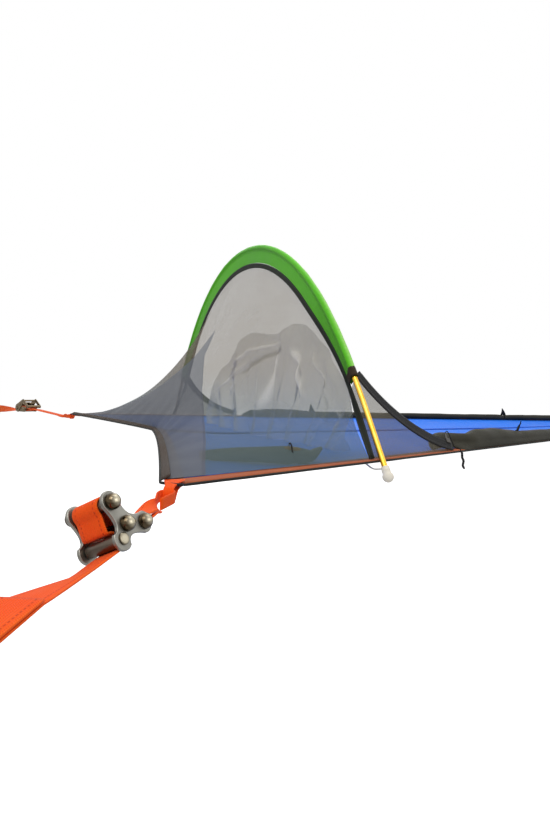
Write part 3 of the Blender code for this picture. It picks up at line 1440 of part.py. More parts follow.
def build_ratchet_spool(pivot):
    """Slotted spool with a toothed wheel near each end and journals in the plates."""
    half = ARM_MIDDLE + RATCHET_SHEET / 2 + RATCHET_SHEET
    core = rod_mesh("ratchet_spool", RATCHET_CORE_DIAMETER, RATCHET_INSIDE_WIDTH - 2 * CLEARANCE, 20)
    spool = add("ratchet_spool", core, "bronze_steel", pivot)
    spool.data.transform(ALONG_Y)
    journal = rod_mesh("spool_journal", RATCHET_JOURNAL_DIAMETER, 2 * half, 20)
    boolean(spool, "spool_journal", journal, "UNION", ALONG_Y)
    teeth = []
    for k in range(RATCHET_TEETH):
        start = RATCHET_TEETH_TURN_DEGREES + 360.0 / RATCHET_TEETH * k
        for radius, degrees in (
            (RATCHET_WHEEL_ROOT_RADIUS, start + 3.0),
            (RATCHET_WHEEL_TIP_RADIUS, start + 8.0),
            (RATCHET_WHEEL_TIP_RADIUS, start + 13.0),
            (RATCHET_WHEEL_ROOT_RADIUS, start + 26.0),
        ):
            turn = math.radians(degrees)
            teeth.append((radius * math.cos(turn), radius * math.sin(turn)))
    for number, side in ((1, -1), (2, 1)):
        y = side * (RATCHET_HALF - RATCHET_WHEEL_THICKNESS / 2 - CLEARANCE * 2)
        wheel = flat_plate(f"ratchet_wheel_{number}", [teeth], RATCHET_WHEEL_THICKNESS)
        boolean(spool, f"ratchet_wheel_{number}", wheel, "UNION", standing(y))
    slot_length = RATCHET_INSIDE_WIDTH - 4 * RATCHET_WHEEL_THICKNESS
    slot = box_mesh("spool_slot", (RATCHET_CORE_DIAMETER * 2, slot_length, RATCHET_SLOT))
    boolean(spool, "spool_slot", slot, "DIFFERENCE")
    smooth(spool)


def wound_points():
    """Middle line of the webbing wound on the spool, from its inner end out."""
    first = RATCHET_CORE_DIAMETER / 2 + STRAP_THICKNESS / 2 + CLEARANCE * 1.5
    steps = WOUND_TURNS * 16
    points = []
    for k in range(steps + 1):
        share = k / steps
        turn = 2 * math.pi * WOUND_TURNS * share
        radius = first + WOUND_PITCH * WOUND_TURNS * share
        points.append((radius * math.cos(turn), radius * math.sin(turn)))
    return points


def wound_radius_below():
    """The wound webbing's outer radius, under which the tree strap leaves the spool."""
    first = RATCHET_CORE_DIAMETER / 2 + STRAP_THICKNESS / 2 + CLEARANCE * 1.5
    return first + WOUND_PITCH * WOUND_TURNS + STRAP_THICKNESS / 2


def build_wound_webbing(pivot):
    across = np.array([0.0, 1.0, 0.0])
    stations = [(np.array([x, 0.0, z]), across, FAR_STRAP_WIDTH) for x, z in wound_points()]
    ribbon("wound_webbing", stations, STRAP_THICKNESS, "orange_webbing", pivot)


def build_ratchet_handle(pivot):
    """Two bent arms on the spool's journals, a grip across their ends and a web at the knee."""
    knee = RATCHET_HANDLE_KNEE
    tip = RATCHET_HANDLE_TIP
    hub = RATCHET_FRAME_RADIUS * 0.9
    arm = RATCHET_HANDLE_ARM / 2
    rise = capsule_outline((0.0, 0.0), hub, knee, arm)
    journal = RATCHET_JOURNAL_DIAMETER / 2 + CLEARANCE
    outlines = [rise, hole((0.0, 0.0), journal, 16), ear_slot(HANDLE_PAWL_WAY)]
    mesh = flat_plate("handle_arm", outlines, RATCHET_SHEET)
    handle = add("ratchet_handle", mesh, "bronze_steel", pivot)
    handle.data.transform(standing(ARM_MIDDLE))
    boolean(
        handle, "handle_arm_far", flat_plate("arm_far", outlines, RATCHET_SHEET), "UNION", standing(-ARM_MIDDLE)
    )
    for number, y in ((1, ARM_MIDDLE), (2, -ARM_MIDDLE)):
        fall = flat_plate(f"handle_fall_{number}", [capsule_outline(knee, arm * 0.98, tip, arm * 0.9)], RATCHET_SHEET * 0.98)
        boolean(handle, f"handle_fall_{number}", fall, "UNION", standing(y))
    grip_length = 2 * ARM_MIDDLE
    for name, place, diameter in (("grip", tip, RATCHET_GRIP_DIAMETER), ("knee_bar", knee, RATCHET_GRIP_DIAMETER * 0.6)):
        bar = rod_mesh(f"handle_{name}", diameter, grip_length, 14)
        matrix = Matrix.Translation((place[0], 0.0, place[1])) @ ALONG_Y
        boolean(handle, f"handle_{name}", bar, "UNION", matrix)


def build_pawl(name, way, span, pivot, with_tab):
    """A sliding pawl: a plate with a bevelled nose, and an ear at each side in the slots."""
    nose = RATCHET_WHEEL_TIP_RADIUS + RATCHET_PAWL_SEAT
    inside = RATCHET_INSIDE_WIDTH - 2 * CLEARANCE
    size = (RATCHET_PAWL_LENGTH, inside, RATCHET_PAWL_THICKNESS)
    obj = add(name, box_mesh(name, size, (nose + RATCHET_PAWL_LENGTH / 2, 0.0, 0.0)), "bronze_steel", pivot)
    ears = (EAR_LENGTH, 2 * span, RATCHET_PAWL_THICKNESS * 0.96)
    middle = ear_start() + EAR_LENGTH / 2
    boolean(obj, f"{name}_ears", box_mesh("ears", ears, (middle, 0.0, 0.0)), "UNION")
    if with_tab:
        tab = (RATCHET_PAWL_LENGTH * 0.7, inside * 0.45, RATCHET_PAWL_THICKNESS * 0.94)
        back = nose + RATCHET_PAWL_LENGTH * 1.3
        boolean(obj, f"{name}_tab", box_mesh("tab", tab, (back, 0.0, 0.0)), "UNION")
    obj.rotation_euler = (0.0, -math.atan2(way[1], way[0]), 0.0)
    return obj


def build_ratchet():
    pivot = empty("ratchet_axis", ratchet_matrix(), TENT)
    build_ratchet_frame(pivot)
    build_ratchet_spool(pivot)
    build_wound_webbing(pivot)
    build_ratchet_handle(pivot)
    build_pawl("frame_pawl", FRAME_PAWL_WAY, RATCHET_HALF + RATCHET_SHEET * 0.9, pivot, False)
    build_pawl("handle_pawl", HANDLE_PAWL_WAY, ARM_MIDDLE + RATCHET_SHEET * 1.2, pivot, True)
    half = RATCHET_HALF + RATCHET_SHEET
    head = RATCHET_BOLT_DIAMETER * 0.85
    shank = RATCHET_BOLT_DIAMETER / 2
    top = [(0.0, half + shank), (head * 0.8, half + shank * 0.8), (head, half + CLEARANCE), (shank, half + CLEARANCE)]
    profile = top + [(radius, -height) for radius, height in reversed(top)]
    bolt = add("ratchet_bolt", turned_mesh("ratchet_bolt", profile, 14), "bronze_steel", pivot)
    bolt.matrix_local = Matrix.Translation((RATCHET_BOLT_X, 0.0, RATCHET_BOLT_Z)) @ ALONG_Y
    smooth(bolt)


def build_far_straps():
    width = FAR_STRAP_WIDTH
    frame = ratchet_matrix()
    across = np.array(frame.to_3x3() @ Vector((0.0, 1.0, 0.0)))

    def in_ratchet(points):
        return [(np.array(frame @ Vector((x, 0.0, z))), across, width) for x, z in points]

    gap = STRAP_THICKNESS / 2 + CLEARANCE * 1.5
    reach = RATCHET_BOLT_DIAMETER / 2 + gap
    bolt = (RATCHET_BOLT_X, RATCHET_BOLT_Z)
    lap = STRAP_THICKNESS / 2 + CLEARANCE * 1.5
    loop = [
        (bolt[0] + 0.050, bolt[1] - lap),
        (bolt[0] + 0.022, bolt[1] - lap),
        *arc_points(bolt, reach, -62.0, -298.0, 10),
        (bolt[0] + 0.022, bolt[1] + lap),
        (bolt[0] + 0.050, bolt[1] + lap),
    ]
    stations = hitch_stations(FAR, width, True)
    joined = in_ratchet(loop[::-1])
    if float(np.dot(stations[-1][1], joined[0][1])) < 0:
        joined = [(p, -a, w) for p, a, w in joined]
    ribbon("far_short_strap", stations + joined, STRAP_THICKNESS, "orange_webbing", TENT)

    outer = wound_radius_below() + CLEARANCE + STRAP_THICKNESS / 2
    run = [(0.004, -outer), (-0.010, -outer), (-0.040, -outer)]
    stations = in_ratchet(run)
    level = float(stations[-1][0][2])
    eye_across = across_of(strap_run(FAR))
    if float(np.dot(eye_across, across)) < 0:
        eye_across = -eye_across
    tilt = (UP * 0.9 + eye_across * 0.44) / np.linalg.norm(UP * 0.9 + eye_across * 0.44)
    eye = eye_stations(FAR, FAR_STRAP_REACH, width, level, tilt)
    ribbon("far_tree_strap", stations + eye, STRAP_THICKNESS, "orange_webbing", TENT)


build_floor()
build_pole()
build_pole_feet()
build_sleeve()
build_arch_binding()
build_hood()
build_doors()
build_sliders()
build_door_mesh()
build_rolls()
build_corner_loops()
build_foot_strap()
build_lock()
build_near_straps()
build_ratchet()
build_far_straps()
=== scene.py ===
import json
import math

import bmesh
import bpy
import numpy as np
from mathutils import Euler, Matrix, Vector

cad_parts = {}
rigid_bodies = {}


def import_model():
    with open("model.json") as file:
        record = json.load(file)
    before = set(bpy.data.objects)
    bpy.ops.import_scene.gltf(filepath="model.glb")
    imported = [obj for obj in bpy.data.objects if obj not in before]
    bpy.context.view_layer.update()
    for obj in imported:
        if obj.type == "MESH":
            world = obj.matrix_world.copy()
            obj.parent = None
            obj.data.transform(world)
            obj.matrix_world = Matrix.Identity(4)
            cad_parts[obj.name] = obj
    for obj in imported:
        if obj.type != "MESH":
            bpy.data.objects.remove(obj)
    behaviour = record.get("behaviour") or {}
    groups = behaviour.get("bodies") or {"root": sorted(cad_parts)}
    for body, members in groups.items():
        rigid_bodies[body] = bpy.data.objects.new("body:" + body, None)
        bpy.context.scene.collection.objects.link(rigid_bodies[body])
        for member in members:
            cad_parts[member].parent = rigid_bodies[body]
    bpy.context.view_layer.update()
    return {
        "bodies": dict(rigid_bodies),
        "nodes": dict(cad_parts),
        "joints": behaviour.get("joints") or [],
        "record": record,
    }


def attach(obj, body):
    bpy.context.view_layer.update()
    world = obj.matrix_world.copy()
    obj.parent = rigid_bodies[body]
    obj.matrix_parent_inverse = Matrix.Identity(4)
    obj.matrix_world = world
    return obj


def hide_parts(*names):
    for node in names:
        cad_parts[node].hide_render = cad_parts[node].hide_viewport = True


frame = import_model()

NODES = frame["nodes"]

# Sizes of the tent, as in its solid model, in metres

POLE_STEPS = 144
HOOD_HALF_CELLS = 20
HOOD_ROWS = 20
HEAD_WIDTH = 1.400
TENT_LENGTH = 2.915
HEAD_SAG = 0.147
HEAD_CURVE_POWER = 1.164
CLEARANCE = 0.0003
NEAR = -1
FAR = 1
FLOOR_THICKNESS = 0.0015
EDGE_WEBBING_WIDTH = 0.025
EDGE_WEBBING_THICKNESS = 0.002
EDGE_WEBBING_INSET = 0.001
HEM_DIAMETER = 0.0034
CORNER_BLUNT = 0.026
HEAD_STEPS = 24
POLE_SHARE = 0.128
POLE_OUTSIDE = 0.0157
POLE_DROP = 0.0084
POLE_END_DEGREES = 58.0
POLE_LEAN_DEGREES = 0.92
SLEEVE_WIDTH = 0.034
SLEEVE_END_SHARE = 0.105
SLEEVE_FULL_SHARE = 0.260
SLEEVE_END_WIDTH_SHARE = 0.68
SLEEVE_END_LEAN_DEGREES = 13.0
BINDING_WIDTH = 0.012
BINDING_THICKNESS = 0.003
BINDING_FOOT_BACK = 0.008
BINDING_FOOT_INSET = 0.005
BINDING_FOOT_HEIGHT = 0.0038
BINDING_FOOT_SHARE = 0.018
BINDING_TURN_SHARE = 0.100
BINDING_TWIST_GAP = 0.0054
DOOR_FOOT_X = 0.600
DOOR_FOOT_INSET = 0.008
DOOR_FOOT_HEIGHT = 0.0120
DOOR_HEAD_SHARE = 0.112
DOOR_HEAD_INWARD = 0.004
DOOR_HEAD_FORWARD = 0.0135
DOOR_ARC_SAG = 0.029
SLIDER_LENGTH = 0.012
PULL_CORD_DIAMETER = 0.0018
PULL_GRIP_DIAMETER = 0.0044
PULL_DROP = 0.028
PULL_CORD_SHARES = (
    (-0.20, 0.56, 0.16),
    (0.14, 0.60, 0.06),
    (0.34, 0.62, -0.22),
    (0.36, 0.66, -0.55),
    (0.37, 0.84, -0.80),
    (0.37, 0.78, -1.12),
    (0.37, 1.02, -1.36),
)
HOOD_LIFT = 0.0033
HOOD_INSET = 0.006
HOOD_STUB = 0.006
HOOD_CROSS_TENSION = 1.3
DOOR_MESH_X = 0.402
DOOR_MESH_CREST_SHARES = (
    (0.2143, 0.0429),
    (0.2343, 0.0836),
    (0.1364, 0.1393),
    (0.0371, 0.1871),
    (-0.0786, 0.1786),
    (-0.1743, 0.1871),
    (-0.2357, 0.1607),
    (-0.3, 0.1071),
    (-0.3357, 0.0607),
)
DOOR_MESH_FOOT_SHARES = (0.2357, -0.3357)
DOOR_MESH_LEAN = 0.020
DOOR_MESH_LIFT = 0.0004
DOOR_MESH_FOLDS = 5
NEAR_HEAD_ROLL_RADIUS = 0.010
NEAR_HEAD_ROLL_PATH_SHARES = (
    (0.0764, -0.3621),
    (0.1129, -0.3886),
    (0.1586, -0.4171),
    (0.1871, -0.4129),
    (0.2143, -0.3914),
)
NEAR_HEAD_ROLL_RADIUS_SHARES = (0.5, 0.85, 1.0, 0.7, 0.30)
NEAR_HEAD_ROLL_TIP_RISE = 0.010
NEAR_ROLL_RADIUS = 0.0178
FAR_ROLL_RADIUS = 0.0090
ROLL_TIP_RADIUS = 0.007
ROLL_TIE_DIAMETER = 0.003
ROLL_TIE_TAIL = 0.026
NEAR_ROLL_START_X = 0.618
FAR_ROLL_START_X = 0.620
ROLL_END_X = 2.560
NEAR_HEAD_TIE_SHARE = 0.5
NEAR_STRAP_WIDTH = 0.025
FAR_STRAP_WIDTH = 0.030
STRAP_THICKNESS = 0.0016
NEAR_RUN_SHARES = (-0.485, -0.874)
FAR_RUN_SHARES = (-0.449, 0.893)
CORNER_LOOP_WIDTH = 0.008
CORNER_LOOP_REACH = 0.010
CORNER_LOOP_LEG = 0.055
CORNER_LOOP_RADIUS = 0.0078
HITCH_RADIUS = 0.0078
HITCH_LENGTH = 0.036
HITCH_ASIDE = 0.75
HITCH_TWIST_STEPS = 6
EYE_RADIUS = 0.016
EYE_LAP = 0.060
EYE_TURN_DEGREES = 118.0
NEAR_STRAP_REACH = 0.420
FAR_STRAP_REACH = 0.660
FOOT_STRAP_REACH = 0.230
LOCK_DISTANCE = 0.1952
LOCK_LIFT = 0.0020
LOCK_TURN_DEGREES = (20.3, -25.8, -47.8)
LOCK_ARMS = {"top": 0.0198, "tent": 0.0200, "tree": 0.0125}
LOCK_STRAP_SHIFT = 0.0030
LOCK_BOLT_DIAMETER = 0.006
LOCK_CAP_DIAMETER = 0.0125
LOCK_ROLLER_DIAMETER = 0.010
LOCK_TUCK_SHARES = ((-1.06, -0.35), (-1.76, 0.19), (-2.42, 0.52), (-2.16, 1.76))
LOCK_LOBE_DEGREES = {"top": 90.0, "tent": -30.0, "tree": 210.0}
RATCHET_DISTANCE = 0.366
RATCHET_LIFT = 0.006
RATCHET_BOLT_X = 0.051
RATCHET_BOLT_Z = -0.004
RATCHET_BOLT_DIAMETER = 0.008
RATCHET_CORE_DIAMETER = 0.0125
WOUND_TURNS = 2
WOUND_PITCH = 0.0021
CHEEK_LIFT = 0.0030
CHEEK_FOLD_SHARE = 0.45
DOOR_BINDING_WIDTH = 0.016
DOOR_BINDING_THICKNESS = 0.0024
EDGE_WEBBING_SIDE_START = 0.030
EDGE_WEBBING_SIDE_END = 0.118
HEAD_WEBBING_SETBACK = 0.048
NEAR_TIE_X = 0.890
FAR_TIE_XS = (0.896, 1.762)
POLE_DIAMETER = 0.0095
LOCK_INSIDE_WIDTH = 0.0320
LOCK_PLATE_THICKNESS = 0.003
LOCK_PLATE_RIM = 0.0006
LOCK_CAP_HEIGHT = 0.0068
LOCK_WASHER_HEIGHT = 0.0012
SLIDER_WIDTH = 0.010
SLIDER_SLOT_DEPTH = 0.0055
SLIDER_TAB_LENGTH = 0.011
SLIDER_START_DEGREES = 2.2
LOCK_LOBE_RADIUS = 0.0088
LOCK_WAIST_RADIUS = 0.016
LOCK_FLAT_HEAD_DIAMETER = 0.0092
POLE_EXTRA = 0.013
FOOT_DIAMETER = 0.018
FOOT_LENGTH = 0.026
FOOT_NECK_DIAMETER = 0.0135
FOOT_SOCKET_DEPTH = 0.015
FOOT_EYE_X = TENT_LENGTH + FOOT_STRAP_REACH - EYE_RADIUS
UP = np.array([0.0, 0.0, 1.0])
SIDES = ((NEAR, "near"), (FAR, "far"))


def unit(vector):
    return vector / np.linalg.norm(vector)


def units(vectors):
    return vectors / np.maximum(np.linalg.norm(vectors, axis=-1, keepdims=True), 1e-12)


def smooth_path(points, count):
    """Points on a smooth curve through the given ones, evenly spaced by share."""
    knots = np.array([tuple(p) for p in points], float)
    last = len(knots) - 1
    padded = np.vstack([2 * knots[0] - knots[1], knots, 2 * knots[-1] - knots[-2]])
    path = []
    for step in range(count):
        place = step / (count - 1) * last
        k = min(int(place), last - 1)
        t = place - k
        a, b, c, d = padded[k : k + 4]
        path.append(
            0.5 * (2 * b + (c - a) * t + (2 * a - 5 * b + 4 * c - d) * t**2 + (3 * b - a - 3 * c + d) * t**3)
        )
    return path


def arc_points(centre, radius, start_degrees, end_degrees, steps):
    """Points of a flat arc, both ends included."""
    turns = [
        math.radians(start_degrees + (end_degrees - start_degrees) * k / steps) for k in range(steps + 1)
    ]
    return [(centre[0] + radius * math.cos(t), centre[1] + radius * math.sin(t)) for t in turns]


def head_edge(share):
    """A point of the head edge, from the near corner at 0 to the far corner at 1."""
    y = (share - 0.5) * HEAD_WIDTH
    x = HEAD_SAG * (1 - abs(2 * share - 1) ** HEAD_CURVE_POWER)
    return np.array([x, y, 0.0])


def head_inward(share):
    step = 1 / HEAD_STEPS / 2
    run = head_edge(min(1, share + step)) - head_edge(max(0, share - step))
    return unit(np.array([run[1], -run[0], 0.0]))


SIDE_LENGTH = math.hypot(TENT_LENGTH, HEAD_WIDTH / 2)


def side_run(side):
    return np.array([TENT_LENGTH, -side * HEAD_WIDTH / 2, 0.0]) / SIDE_LENGTH


def side_inward(side):
    return np.array([-HEAD_WIDTH / 2, -side * TENT_LENGTH, 0.0]) / SIDE_LENGTH


def side_point(side, x, inset=0.0, height=0.0):
    """A point over a long edge at a given x, moved inward and up."""
    share = x / TENT_LENGTH
    on_edge = np.array([x, side * HEAD_WIDTH / 2 * (1 - share), height])
    return on_edge + side_inward(side) * inset


def side_cut(side):
    """Where the blunt head corner meets a long edge."""
    return np.array([0.0, side * HEAD_WIDTH / 2, 0.0]) + side_run(side) * CORNER_BLUNT


def head_share_at(distance):
    """The head edge's share at a distance from its corner, measured across the tent."""
    return distance / HEAD_WIDTH


def elastic_curve(end_degrees, steps):
    """Half of a bent rod's free curve, as (across, height), for a half span of 1."""
    modulus = math.sin(math.radians(end_degrees) / 2)
    phase = np.linspace(0, math.pi / 2, steps * 8 + 1)
    pace = 1 / np.sqrt(1 - (modulus * np.sin(phase)) ** 2)
    lean = 2 * np.arcsin(modulus * np.sin(phase))

    def running(values):
        pieces = (values[1:] + values[:-1]) / 2 * np.diff(phase)
        return np.concatenate([[0.0], np.cumsum(pieces)])

    way = running(pace)
    across = running(np.cos(lean) * pace)
    height = 2 * modulus * np.cos(phase)
    evenly = np.linspace(0, way[-1], steps + 1)
    span = across[-1]
    return np.interp(evenly, way, across) / span, np.interp(evenly, way, height) / span


ARCH_LEAN = math.radians(POLE_LEAN_DEGREES)
ARCH_UP = np.array([math.sin(ARCH_LEAN), 0.0, math.cos(ARCH_LEAN)])
ARCH_FORWARD = np.array([math.cos(ARCH_LEAN), 0.0, -math.sin(ARCH_LEAN)])
ARCH_ACROSS = np.array([0.0, 1.0, 0.0])
ARCH_BASE = np.array([TENT_LENGTH * POLE_SHARE, 0.0, -POLE_DROP])
ARCH_HALF_SPAN = HEAD_WIDTH / 2 * (1 - POLE_SHARE) + POLE_OUTSIDE


def arch_stations():
    """Points and in-plane inward directions along the pole, near foot to far foot."""
    across, height = elastic_curve(POLE_END_DEGREES, POLE_STEPS // 2)
    across = np.concatenate([-across[::-1], across[1:]]) * ARCH_HALF_SPAN
    height = np.concatenate([height[::-1], height[1:]]) * ARCH_HALF_SPAN
    points = [ARCH_BASE + a * ARCH_ACROSS + h * ARCH_UP for a, h in zip(across, height)]
    runs = units(np.gradient(np.array(points), axis=0))
    inward = [(run @ ARCH_UP) * ARCH_ACROSS - (run @ ARCH_ACROSS) * ARCH_UP for run in runs]
    return points, inward, runs


ARCH_POINTS, ARCH_INWARD, ARCH_RUNS = arch_stations()


def arch_at(share, inward=0.0, headward=0.0):
    """A point beside the pole at a share of its length, moved inward and towards the head."""
    place = share * POLE_STEPS
    k = min(int(place), POLE_STEPS - 1)
    t = place - k
    point = ARCH_POINTS[k] * (1 - t) + ARCH_POINTS[k + 1] * t
    direction = ARCH_INWARD[k] * (1 - t) + ARCH_INWARD[k + 1] * t
    return point + direction * inward - ARCH_FORWARD * headward


def from_end(share):
    """The share of the arch between a point and its nearer end."""
    return min(share, 1 - share)


def eased(value):
    """A smooth step from 0 to 1."""
    value = min(max(value, 0.0), 1.0)
    return value * value * (3 - 2 * value)


def sleeve_fullness(share):
    """0 at the sleeve's ends, 1 where it has its full width."""
    return eased((from_end(share) - SLEEVE_END_SHARE) / (SLEEVE_FULL_SHARE - SLEEVE_END_SHARE))


def web_width(share):
    """The distance from the pole's middle to the sleeve's inner edge."""
    return SLEEVE_WIDTH * (SLEEVE_END_WIDTH_SHARE + (1 - SLEEVE_END_WIDTH_SHARE) * sleeve_fullness(share))


def web_point(share, along, aside=0.0):
    """A point beside the pole, along the sleeve's web and aside from it; its ends lean to the foot."""
    lean = -math.radians(SLEEVE_END_LEAN_DEGREES) * (1 - sleeve_fullness(share))
    inward = along * math.cos(lean) - aside * math.sin(lean)
    headward = along * math.sin(lean) + aside * math.cos(lean)
    return arch_at(share, inward, headward)


def facing(vector, other):
    """The vector, turned round if it points away from the other."""
    return -vector if float(np.dot(vector, other)) < 0 else vector


def evenly(first, count):
    """Shares of an edge at even steps, as far from its start as from its end."""
    return [first + (1 - 2 * first) * k / count for k in range(count + 1)]


def binding_station(share):
    """The arch binding's middle and the direction of its width, from the pole to the mesh."""
    on_arch = min(max(share, BINDING_TURN_SHARE), 1 - BINDING_TURN_SHARE)
    out = web_width(on_arch) + BINDING_WIDTH / 2 + CLEARANCE * 2
    middle = web_point(on_arch, out)
    direction = unit(middle - web_point(on_arch, 0.0))
    if on_arch == share:
        return middle, direction
    side = NEAR if share < on_arch else FAR
    down = (BINDING_TURN_SHARE - from_end(share)) / (BINDING_TURN_SHARE - BINDING_FOOT_SHARE)
    foot_x = ARCH_BASE[0] - BINDING_FOOT_BACK
    foot = side_point(side, foot_x, BINDING_FOOT_INSET + BINDING_THICKNESS, BINDING_FOOT_HEIGHT)
    turned = direction * (1 - down) - side_run(side) * down
    return middle + (foot - middle) * down, unit(turned)


def twist_gap(share):
    """The extra room beside the binding where it turns between the sleeve and the floor."""
    middle = (BINDING_TURN_SHARE + BINDING_FOOT_SHARE) / 2
    nearness = 1 - abs(from_end(share) - middle) / (BINDING_TURN_SHARE - BINDING_FOOT_SHARE) * 1.6
    return CLEARANCE + BINDING_TWIST_GAP * max(0.0, nearness)


def arch_mesh_edge(share):
    """Where the hood's mesh meets the arch binding."""
    middle, direction = binding_station(share)
    return middle + direction * (BINDING_WIDTH / 2 + twist_gap(share))


def hood_points():
    """The hood's points: an evenly pulled net between the head edge, the sides and the arch."""
    columns = 2 * HOOD_HALF_CELLS
    rows = HOOD_ROWS
    net = np.zeros((columns + 1, rows + 1, 3))
    pinned = np.zeros((columns + 1, rows + 1), bool)
    ends = BINDING_FOOT_SHARE
    corner_share = head_share_at(CORNER_BLUNT + HOOD_INSET)
    for i in range(columns + 1):
        across = i / columns
        share = corner_share + (1 - 2 * corner_share) * across
        net[i, 0] = head_edge(share) + head_inward(share) * HOOD_INSET + np.array([0, 0, HOOD_LIFT])
        arch_share = ends + (1 - 2 * ends) * across
        net[i, rows] = arch_mesh_edge(arch_share)
        net[i, rows - 1] = net[i, rows] + binding_station(arch_share)[1] * HOOD_STUB
        net[i, rows - 1, 2] = max(net[i, rows - 1, 2], HOOD_LIFT)
    for i in (0, columns):
        start = net[i, 0]
        end = net[i, rows - 1].copy()
        end[2] = max(end[2], HOOD_LIFT)
        for j in range(rows):
            net[i, j] = start + (end - start) * j / (rows - 1)
    pinned[[0, columns], :] = True
    pinned[:, [0, rows - 1, rows]] = True
    free = [(i, j) for i in range(columns + 1) for j in range(rows + 1) if not pinned[i, j]]
    number = {cell: k for k, cell in enumerate(free)}
    pull = np.zeros((len(free), len(free)))
    held = np.zeros((len(free), 3))
    neighbours = ((1, 0, HOOD_CROSS_TENSION), (-1, 0, HOOD_CROSS_TENSION), (0, 1, 1.0), (0, -1, 1.0))
    for (i, j), k in number.items():
        for di, dj, tension in neighbours:
            cell = (i + di, j + dj)
            pull[k, k] += tension
            if cell in number:
                pull[k, number[cell]] -= tension
            else:
                held[k] += tension * net[cell]
    solved = np.linalg.solve(pull, held)
    for (i, j), k in number.items():
        net[i, j] = solved[k]
    return net


def door_arc(side):
    """The circle that a door binding follows: centre, radius, axes and end angle."""
    share = DOOR_HEAD_SHARE if side == NEAR else 1 - DOOR_HEAD_SHARE
    top = arch_at(share, DOOR_HEAD_INWARD, -DOOR_HEAD_FORWARD)
    foot = side_point(side, DOOR_FOOT_X, DOOR_FOOT_INSET, DOOR_FOOT_HEIGHT)
    corner = side_point(side, ARCH_BASE[0], DOOR_FOOT_INSET, DOOR_FOOT_HEIGHT)
    chord = foot - top
    length = np.linalg.norm(chord)
    chord = chord / length
    to_corner = corner - (foot + top) / 2
    bulge = unit(to_corner - (to_corner @ chord) * chord)
    radius = ((length / 2) ** 2 + DOOR_ARC_SAG**2) / (2 * DOOR_ARC_SAG)
    centre = (foot + top) / 2 - (radius - DOOR_ARC_SAG) * bulge
    half = math.asin(length / 2 / radius)
    return centre, radius, bulge, chord, half


def door_radial(side, turn):
    _, _, bulge, chord, _ = door_arc(side)
    return math.cos(turn) * bulge + math.sin(turn) * chord


def door_point(side, turn, radial=0.0):
    """A point by the door binding: turn runs from -half at the arch to half at the foot."""
    centre, radius, _, _, _ = door_arc(side)
    return centre + (radius + radial) * door_radial(side, turn)


def roll_radius(x, start, end, radius):
    """A roll's radius: puckered at its head end, full, then drawn in to its foot end."""
    share = (x - start) / (end - start)
    swell = min(1.0, 0.60 + 9.0 * share)
    taper = 0.62 + 0.38 * math.exp(-max(0.0, share - 0.10) / 0.10)
    ripple = 1.0 + 0.05 * math.sin(29.0 * share)
    return max(ROLL_TIP_RADIUS, radius * swell * taper * ripple)


def roll_base():
    return CLEARANCE * 2 + EDGE_WEBBING_THICKNESS


ROLLS = {
    "near_roll_foot": (NEAR, NEAR_ROLL_START_X, ROLL_END_X, NEAR_ROLL_RADIUS),
    "far_roll_foot": (FAR, FAR_ROLL_START_X, ROLL_END_X, FAR_ROLL_RADIUS),
}


def strap_run(side):
    if side == 0:
        return np.array([1.0, 0.0, 0.0])
    x, y = NEAR_RUN_SHARES if side == NEAR else FAR_RUN_SHARES
    return unit(np.array([x, y, 0.0]))


def corner_tip(side):
    """The middle of a corner's blunt end, or the pointed foot corner."""
    if side == 0:
        return np.array([TENT_LENGTH, 0.0, 0.0])
    share = head_share_at(CORNER_BLUNT)
    on_head = head_edge(share if side == NEAR else 1 - share)
    return (on_head + side_cut(side)) / 2


def across_of(run):
    return np.cross(UP, run)


def loop_centre(side):
    """The middle of a corner loop's bend, out beyond the corner and under the floor's level."""
    drop = -FLOOR_THICKNESS - CLEARANCE * 2 - CORNER_LOOP_RADIUS
    return corner_tip(side) + strap_run(side) * CORNER_LOOP_REACH + UP * drop


def hitch_stations(side, width):
    """A strap's end through a corner loop: twisted on edge, round the loop and back."""
    run = strap_run(side)
    across = across_of(run)
    radius = HITCH_RADIUS + STRAP_THICKNESS / 2
    narrow = CORNER_LOOP_WIDTH
    hold = sum(math.sqrt(size**2 - (narrow / 2) ** 2) for size in (CORNER_LOOP_RADIUS, HITCH_RADIUS))
    centre = loop_centre(side) + run * (hold - CLEARANCE * 1.5)
    bend = []
    for dx, dy in arc_points((0.0, 0.0), radius, 90.0, 270.0, 8):
        bend.append((centre + run * dx + across * dy, UP, narrow))
    tail = [
        (centre + run * HITCH_LENGTH + across * (STRAP_THICKNESS * 1.8), UP, narrow),
        (centre + run * HITCH_LENGTH * 0.5 + across * (radius * HITCH_ASIDE), UP, narrow),
    ]
    out = []
    for k in range(HITCH_TWIST_STEPS + 1):
        share = k / HITCH_TWIST_STEPS
        turn = math.pi / 2 * eased(share)
        ahead = HITCH_LENGTH * (0.5 + 1.4 * share)
        aside = -radius * HITCH_ASIDE * (1 - share) ** 2
        wide = narrow + (width - narrow) * eased(share)
        point = centre + run * ahead + across * aside
        out.append((point, UP * math.cos(turn) - across * math.sin(turn), wide))
    return tail + bend + out


